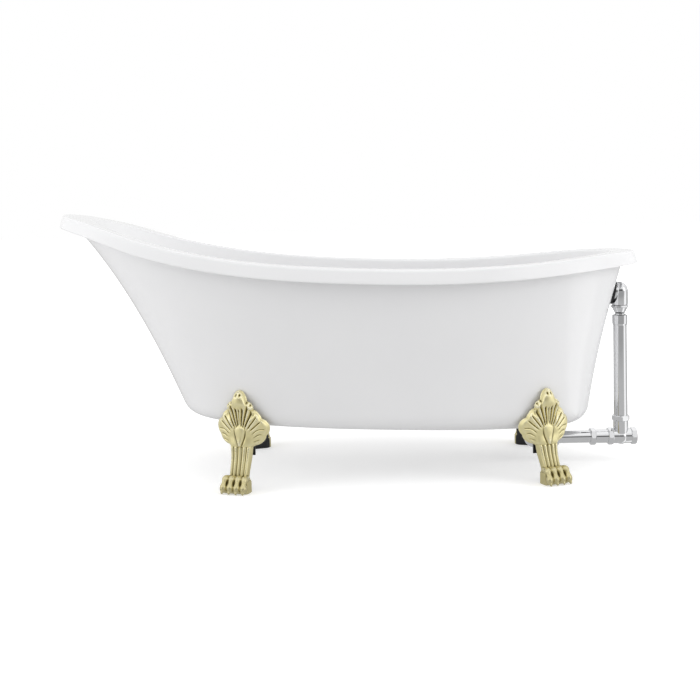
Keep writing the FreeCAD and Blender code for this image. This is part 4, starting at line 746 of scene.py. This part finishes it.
def hollowness(mesh, passes):
    """How deep each point lies under the average of its neighbourhood, in millimetres."""
    edges = np.zeros(len(mesh.edges) * 2, int)
    mesh.edges.foreach_get("vertices", edges)
    first, second = edges.reshape(-1, 2).T
    count = np.bincount(first, minlength=len(mesh.vertices))
    count = (count + np.bincount(second, minlength=len(mesh.vertices)))[:, None]
    points = coords(mesh)
    even = points
    for _ in range(passes):
        total = np.stack([
            np.bincount(first, even[second, i], len(points))
            + np.bincount(second, even[first, i], len(points))
            for i in range(3)
        ], -1)
        even = total / count
    return ((even - points) * normals(mesh)).sum(1) / MM


def set_attribute(mesh, name, values):
    layer = mesh.attributes.new(name, "FLOAT", "POINT")
    layer.data.foreach_set("value", values.astype(np.float32))


LEVELLER_REACH = 32.0
LEVELLER_ROOM_RADIUS = 12.6
LEVELLER_ROOM_HEIGHT = 5.0


def foot_mesh(seat):
    """One foot in its own frame: leaf, leg, paw and toes as a single casting."""
    sole = seat[4]
    grids = [(palmette(seat), False, True), (leg(sole), False, True), (paw_block(sole), False, True)]
    grids += [(grid, False, True) for grid in toes(sole)]
    mesh = merged(mesh_of("foot_blank", grids), VOXEL, EVEN_PASSES)
    points = coords(mesh) / MM
    points[:, 2] = np.maximum(points[:, 2] - sole, 0)
    room = np.hypot(points[:, 0] - LEVELLER_REACH, points[:, 1]) < LEVELLER_ROOM_RADIUS
    points[:, 2] += np.where(room & (points[:, 2] < 2), LEVELLER_ROOM_HEIGHT, 0)
    mesh.vertices.foreach_set("co", (points * MM).ravel())
    mesh.update()
    depth = hollowness(mesh, HOLLOW_PASSES)
    facing = normals(mesh)
    u, v, z = points.T
    # The plating ends where the casting's back starts: behind the leaf's belt, and at the leg's heel
    rise = np.clip((z + sole - PALMETTE_BASE) / PALMETTE_HEIGHT, 0, 1)
    heel = leg_sides(np.clip(z + sole, LEG_START + sole, LEG_TOP), sole)[1]
    skin = np.where(rise > 0, 8 - 0.006 * v ** 2 + 10 * rise * (1 - rise), heel + 9)
    behind = smooth(-0.15, -0.45, facing[:, 0]) * smooth(0, -3, u - skin)
    # The hollow depth drives the gilt's painted shade in the hollows and its painted highlight on the
    # crests.
    set_attribute(mesh, "hollow", np.clip(depth, -HOLLOW_LIMIT, HOLLOW_LIMIT))
    set_attribute(mesh, "painted", behind)
    x, y = to_tub(u, v, seat)
    mesh.vertices.foreach_set("co", (np.stack([x, y, z], -1) * MM).ravel())
    mesh.update()
    return mesh


def other_side(mesh):
    """The same mesh on the far side of the tub, its faces turned to point outwards again."""
    twin = mesh.copy()
    points = coords(twin)
    points[:, 1] *= -1
    twin.vertices.foreach_set("co", points.ravel())
    twin.flip_normals()
    twin.update()
    return twin


# Finishes


class Value:
    """A shader socket that takes part in sums; each sum adds a Math node."""

    def __init__(self, finish, socket):
        self.finish = finish
        self.socket = socket

    def math(self, operation, first, second):
        return self.finish.node("ShaderNodeMath", {"operation": operation}, {0: first, 1: second})

    def __add__(self, other):
        return self.math("ADD", self, other)

    def __sub__(self, other):
        return self.math("SUBTRACT", self, other)

    def __rsub__(self, other):
        return self.math("SUBTRACT", other, self)

    def __mul__(self, other):
        return self.math("MULTIPLY", self, other)

    __radd__ = __add__
    __rmul__ = __mul__


class Finish:
    """One procedural material on its Principled shader."""

    def __init__(self, name, **constants):
        self.material = bpy.data.materials.new(name)
        self.material.use_nodes = True
        self.tree = self.material.node_tree
        self.shader = self.tree.nodes["Principled BSDF"]
        for socket, value in constants.items():
            self.shader.inputs[socket.replace("_", " ")].default_value = value
        self.place = self.node("ShaderNodeTexCoord", {}, {}, "Object")

    def node(self, kind, settings, values, output=0):
        """Any node: its settings first, then its sockets' values or links; returns one output."""
        made = self.tree.nodes.new(kind)
        stops = settings.pop("stops", None)
        for name, value in settings.items():
            setattr(made, name, value)
        if stops:
            ramp = made.color_ramp
            while len(ramp.elements) < len(stops):
                ramp.elements.new(1.0)
            for element, (place, colour) in zip(ramp.elements, stops):
                element.position = place
                element.color = colour
        for socket, value in values.items():
            if isinstance(value, Value):
                self.tree.links.new(value.socket, made.inputs[socket])
            else:
                made.inputs[socket].default_value = value
        return Value(self, made.outputs[output])

    def noise(self, scale, detail=3.0, roughness=0.5):
        values = {"Vector": self.place, "Scale": scale, "Detail": detail, "Roughness": roughness}
        return self.node("ShaderNodeTexNoise", {}, values, "Fac")

    def attribute(self, name):
        return self.node("ShaderNodeAttribute", {"attribute_name": name}, {}, "Fac")

    def ramp(self, value, low, high):
        """Smooth step of a value between two limits, as a share."""
        settings = {"interpolation_type": "SMOOTHSTEP"}
        return self.node("ShaderNodeMapRange", settings, {0: value, 1: low, 2: high})

    def mix(self, share, first, second):
        """Colour between two colours or links, by a share."""
        settings = {"data_type": "RGBA"}
        return self.node("ShaderNodeMix", settings, {0: share, 6: first, 7: second}, 2)

    def feed(self, socket, value):
        self.tree.links.new(value.socket, self.shader.inputs[socket])

    def bump(self, height, strength, distance):
        values = {"Height": height, "Strength": strength, "Distance": distance}
        self.feed("Normal", self.node("ShaderNodeBump", {}, values))


def acrylic():
    """Gloss white acrylic: faint cloudiness, soft waviness and light handling marks."""
    finish = Finish("acrylic", Specular_IOR_Level=0.5, IOR=1.49, Coat_Weight=0.35, Coat_Roughness=0.04)
    cloud = finish.noise(5.0, 2.0)
    finish.feed("Base Color", finish.mix(cloud, (0.80, 0.80, 0.81, 1), (0.835, 0.835, 0.84, 1)))
    marks = finish.noise(38.0, 4.0, 0.6)
    finish.feed("Roughness", 0.10 + finish.ramp(marks, 0.45, 0.8) * 0.08)
    finish.bump(finish.noise(9.0, 1.0), 0.05, 0.002)
    return finish.material


def gilt():
    """Pale gold plating on a casting: painted shade in the hollows and low by the floor, a painted
    highlight on the crests, black behind.
    """
    finish = Finish("gilt", Specular_IOR_Level=0.5)
    hollow = finish.attribute("hollow")
    painted = finish.attribute("painted")
    # Painted shade: where the hollow depth is above zero, the plating is darkened towards deep olive.
    painted_shade_hollows = finish.ramp(hollow, 0.06, 1.2)
    # Painted highlight: where the hollow depth is below zero, the crests are lightened.
    painted_highlight_crests = finish.ramp(hollow, -0.2, -1.2)
    mottle = finish.noise(60.0, 4.0)
    plating_and_painted_light = finish.mix(mottle, (0.84, 0.755, 0.395, 1), (0.89, 0.81, 0.465, 1))
    # Painted highlight on the crests: pale gold mixed in.
    plating_and_painted_light = finish.mix(painted_highlight_crests, plating_and_painted_light, (0.96, 0.90, 0.62, 1))
    # Painted shade: the plating is darker towards the floor, from 0.13 m down to 0.02 m above it.
    height = finish.node("ShaderNodeSeparateXYZ", {}, {0: finish.place}, "Z")
    plating_and_painted_light = finish.mix(finish.ramp(height, 0.13, 0.02) * 0.75, plating_and_painted_light, (0.52, 0.455, 0.22, 1))
    # Painted shade in the hollows: deep olive mixed in by the hollow depth.
    plating_and_painted_light = finish.mix(painted_shade_hollows, plating_and_painted_light, (0.14, 0.108, 0.03, 1))
    finish.feed("Base Color", finish.mix(painted, plating_and_painted_light, (0.012, 0.012, 0.014, 1)))
    finish.feed("Metallic", 0.72 - painted * 0.72)
    polish = 0.28 + painted_shade_hollows * 0.18 + mottle * 0.08 - painted_highlight_crests * 0.06
    finish.feed("Roughness", polish + painted * 0.25)
    finish.bump(finish.noise(420.0, 3.0), 0.12, 0.0006)
    return finish.material


def chrome():
    """Polished chrome with faint water haze."""
    finish = Finish("chrome", Metallic=1.0)
    haze = finish.noise(70.0, 4.0, 0.6)
    finish.feed("Base Color", finish.mix(haze, (0.74, 0.75, 0.76, 1), (0.82, 0.82, 0.83, 1)))
    finish.feed("Roughness", 0.05 + finish.ramp(haze, 0.4, 0.9) * 0.10)
    return finish.material


def rubber():
    """Matt black rubber with a fine moulded grain."""
    finish = Finish("rubber", Specular_IOR_Level=0.4)
    grain = finish.noise(300.0, 3.0)
    finish.feed("Base Color", finish.mix(grain, (0.010, 0.010, 0.011, 1), (0.022, 0.022, 0.023, 1)))
    finish.feed("Roughness", 0.5 + grain * 0.25)
    finish.bump(grain, 0.2, 0.0004)
    return finish.material


def black_paint():
    """Black powder coat with its orange-peel skin."""
    finish = Finish("black_paint", Specular_IOR_Level=0.5)
    peel = finish.noise(520.0, 2.0)
    finish.feed("Base Color", finish.mix(peel, (0.012, 0.012, 0.013, 1), (0.02, 0.02, 0.021, 1)))
    finish.feed("Roughness", 0.38 + peel * 0.2)
    finish.bump(peel, 0.25, 0.0004)
    return finish.material


def steel():
    """Bright zinc-plated steel, a little blotched."""
    finish = Finish("steel", Metallic=1.0)
    blotch = finish.noise(160.0, 4.0)
    finish.feed("Base Color", finish.mix(blotch, (0.52, 0.52, 0.50, 1), (0.66, 0.66, 0.65, 1)))
    finish.feed("Roughness", 0.25 + blotch * 0.2)
    return finish.material


def brass():
    """Plain turned brass."""
    finish = Finish("brass", Metallic=1.0)
    blotch = finish.noise(180.0, 3.0)
    finish.feed("Base Color", finish.mix(blotch, (0.66, 0.47, 0.20, 1), (0.78, 0.58, 0.28, 1)))
    finish.feed("Roughness", 0.22 + blotch * 0.18)
    return finish.material


def board():
    """Sawn board sealed with resin: long pale grain."""
    finish = Finish("board")
    stretch = {"Vector": finish.place, "Scale": (3.0, 60.0, 60.0)}
    grain_place = finish.node("ShaderNodeMapping", {}, stretch)
    grain = finish.node("ShaderNodeTexNoise", {}, {"Vector": grain_place, "Scale": 4.0, "Detail": 5.0})
    finish.feed("Base Color", finish.mix(grain, (0.42, 0.30, 0.17, 1), (0.62, 0.47, 0.29, 1)))
    finish.feed("Roughness", 0.5 + grain * 0.3)
    return finish.material


FINISHES = {
    "acrylic": acrylic(),
    "gilt": gilt(),
    "chrome": chrome(),
    "rubber": rubber(),
    "bracket_black": black_paint(),
    "steel": steel(),
    "brass_stem": brass(),
    "board": board(),
}

for row in frame["record"]["subparts"]:
    node = frame["nodes"].get(row["node"])
    if node is not None:
        node.data.materials.clear()
        node.data.materials.append(FINISHES[row["material_slot"]])

# Pieces

piece("basin_skin", mesh_of("basin_skin", [(basin_skin(), True, True)]),
      FINISHES["acrylic"], replaces=("basin",))
piece("outer_skin", mesh_of("outer_skin", [(outer_skin(), True, True)]),
      FINISHES["acrylic"], replaces=("outer_shell",))
piece("elbow_body", mesh_of("elbow_body", elbow_grids()), FINISHES["chrome"],
      replaces=("overflow_elbow",), crease=math.radians(35))
for end, seat in FOOT_SEATS.items():
    right = foot_mesh(seat)
    left = other_side(right)
    for side, mesh in (("right", right), ("left", left)):
        piece(f"claw_foot_{end}_{side}", mesh, FINISHES["gilt"],
              replaces=(f"foot_{end}_{side}",), crease=math.pi)

# Stage, light and camera

FLOOR_HALF = 40.0
FLOOR_TONE = 0.80
FLOOR_LIFT = 0.42
# What mirrors see of the floor: grey, a little lighter by the tub, and one bright strip by the tube
MIRROR_FAR = 0.40
MIRROR_NEAR_GAIN = 0.16
MIRROR_STRIP_GAIN = 0.60
TUBE_FOOT = (0.759, 0.0, 0.0)
STRIP_BEARING = (0.93, -0.37, 0.0)


def stage_floor():
    """Wide pale floor: a plain sheet by the tub, the backdrop's white farther off, grey to mirrors."""
    mesh = bpy.data.meshes.new("floor")
    sides = ((-1, -1), (1, -1), (1, 1), (-1, 1))
    mesh.from_pydata([(x * FLOOR_HALF, y * FLOOR_HALF, 0) for x, y in sides], [], [(0, 1, 2, 3)])
    item = bpy.data.objects.new("floor", mesh)
    bpy.context.scene.collection.objects.link(item)
    finish = Finish("floor_sheet", Roughness=1.0, Specular_IOR_Level=0.0, Emission_Strength=1.0)
    seen = finish.node("ShaderNodeLightPath", {}, {}, "Is Camera Ray")
    mirrored = finish.node("ShaderNodeLightPath", {}, {}, "Is Glossy Ray")
    away = finish.node("ShaderNodeVectorMath", {"operation": "LENGTH"}, {0: finish.place}, "Value")
    across = finish.node("ShaderNodeSeparateXYZ", {}, {0: finish.place}, "Y")
    from_tube = {0: finish.place, 1: TUBE_FOOT}
    bearing = finish.node("ShaderNodeVectorMath", {"operation": "SUBTRACT"}, from_tube)
    bearing = finish.node("ShaderNodeVectorMath", {"operation": "NORMALIZE"}, {0: bearing})
    strip = {0: bearing, 1: STRIP_BEARING}
    beside = finish.node("ShaderNodeVectorMath", {"operation": "DOT_PRODUCT"}, strip, "Value")
    level = MIRROR_FAR + finish.ramp(across, -3.0, -0.9) * MIRROR_NEAR_GAIN
    level = level + finish.ramp(beside, 0.93, 0.975) * MIRROR_STRIP_GAIN
    lift = FLOOR_LIFT + finish.ramp(away, 0.9, 2.6)
    finish.feed("Base Color", (1.0 - mirrored) * FLOOR_TONE)
    finish.feed("Emission Color", seen * lift + mirrored * level)
    mesh.materials.append(finish.material)


UP = (0.0, 0.0, 1.0)
TO_CAMERA = (0.0, -1.0, 0.0)
ROOM_FILL = 0.71
ROOM_LEVEL = 0.88
ROOM_DARK = 0.80
# Soft boxes that mirrors see: direction, cosines where it starts and is full, gain
ROOM_BOXES = (
    ((0.76, -0.62, 0.2), 0.90, 0.97, 0.70),
    ((-0.85, -0.45, 0.3), 0.80, 0.96, 0.30),
    (UP, 0.35, 0.9, 0.25),
)


class Studio(Finish):
    """White studio: white to the camera, plain fill for matt surfaces, soft boxes for mirrors."""

    def __init__(self, fill):
        world = bpy.data.worlds.new("studio")
        world.use_nodes = True
        self.tree = world.node_tree
        self.place = self.node("ShaderNodeTexCoord", {}, {}, "Generated")
        seen = self.node("ShaderNodeLightPath", {}, {}, "Is Camera Ray")
        through = self.node("ShaderNodeLightPath", {}, {}, "Is Transmission Ray")
        mirrored = self.node("ShaderNodeLightPath", {}, {}, "Is Glossy Ray")
        low = 1.0 - self.glow(UP, 0.14, 0.45)
        room = ROOM_LEVEL - self.glow(TO_CAMERA, 0.50, 0.92) * low * ROOM_DARK
        for towards, start, full, gain in ROOM_BOXES:
            room = room + self.glow(towards, start, full) * gain
        light = fill + mirrored * (room - fill)
        light = light + (seen + through) * (1.0 - light)
        background = self.tree.nodes["Background"]
        self.tree.links.new(light.socket, background.inputs["Strength"])
        background.inputs["Color"].default_value = (1, 1, 1, 1)
        bpy.context.scene.world = world

    def glow(self, towards, low, high):
        """Soft patch of the room round one direction."""
        settings = {"operation": "DOT_PRODUCT"}
        sides = {0: self.place, 1: unit(np.array(towards))}
        facing = self.node("ShaderNodeVectorMath", settings, sides, "Value")
        return self.ramp(facing, low, high)


def softbox(name, place, target, width, height, power):
    """Large area lamp turned towards a point; mirrors see the room's own soft boxes in its stead."""
    lamp = bpy.data.lights.new(name, "AREA")
    lamp.shape = "RECTANGLE"
    lamp.size = width
    lamp.size_y = height
    lamp.energy = power
    item = bpy.data.objects.new(name, lamp)
    item.location = place
    item.rotation_euler = (Vector(target) - Vector(place)).to_track_quat("-Z", "Y").to_euler()
    item.visible_glossy = False
    bpy.context.scene.collection.objects.link(item)


# Lamps: place, target, width, height and power
LAMPS = {
    "light_top": ((0.0, -0.3, 3.2), (0.0, 0.0, 0.5), 3.6, 2.4, 25),
    "light_left": ((-4.0, -1.3, 1.5), (0.0, 0.0, 0.5), 2.2, 2.6, 58),
    "light_right": ((4.0, -1.3, 1.5), (0.2, 0.0, 0.5), 2.2, 2.6, 60),
}

stage_floor()
Studio(ROOM_FILL)
for name, settings in LAMPS.items():
    softbox(name, *settings)

CAMERA_PLACE = (0.0596, -2.850, 0.7146)
CAMERA_TILT = math.radians(3.70)
CAMERA_YAW = math.radians(-1.08)
CAMERA_ROLL = math.radians(1.465)
CAMERA_LENS = 51.97
CAMERA_SHIFT = -0.1
camera = bpy.data.cameras.new("camera")
camera.lens = CAMERA_LENS
camera.sensor_width = 36.0
camera.shift_y = CAMERA_SHIFT
eye = bpy.data.objects.new("camera", camera)
aim = Euler((math.pi / 2 - CAMERA_TILT, 0.0, -CAMERA_YAW)).to_matrix()
eye.rotation_euler = (Matrix.Rotation(CAMERA_ROLL, 3, "Y") @ aim).to_euler()
eye.location = CAMERA_PLACE
bpy.context.scene.collection.objects.link(eye)
bpy.context.scene.camera = eye
bpy.context.scene.view_settings.view_transform = "Standard"
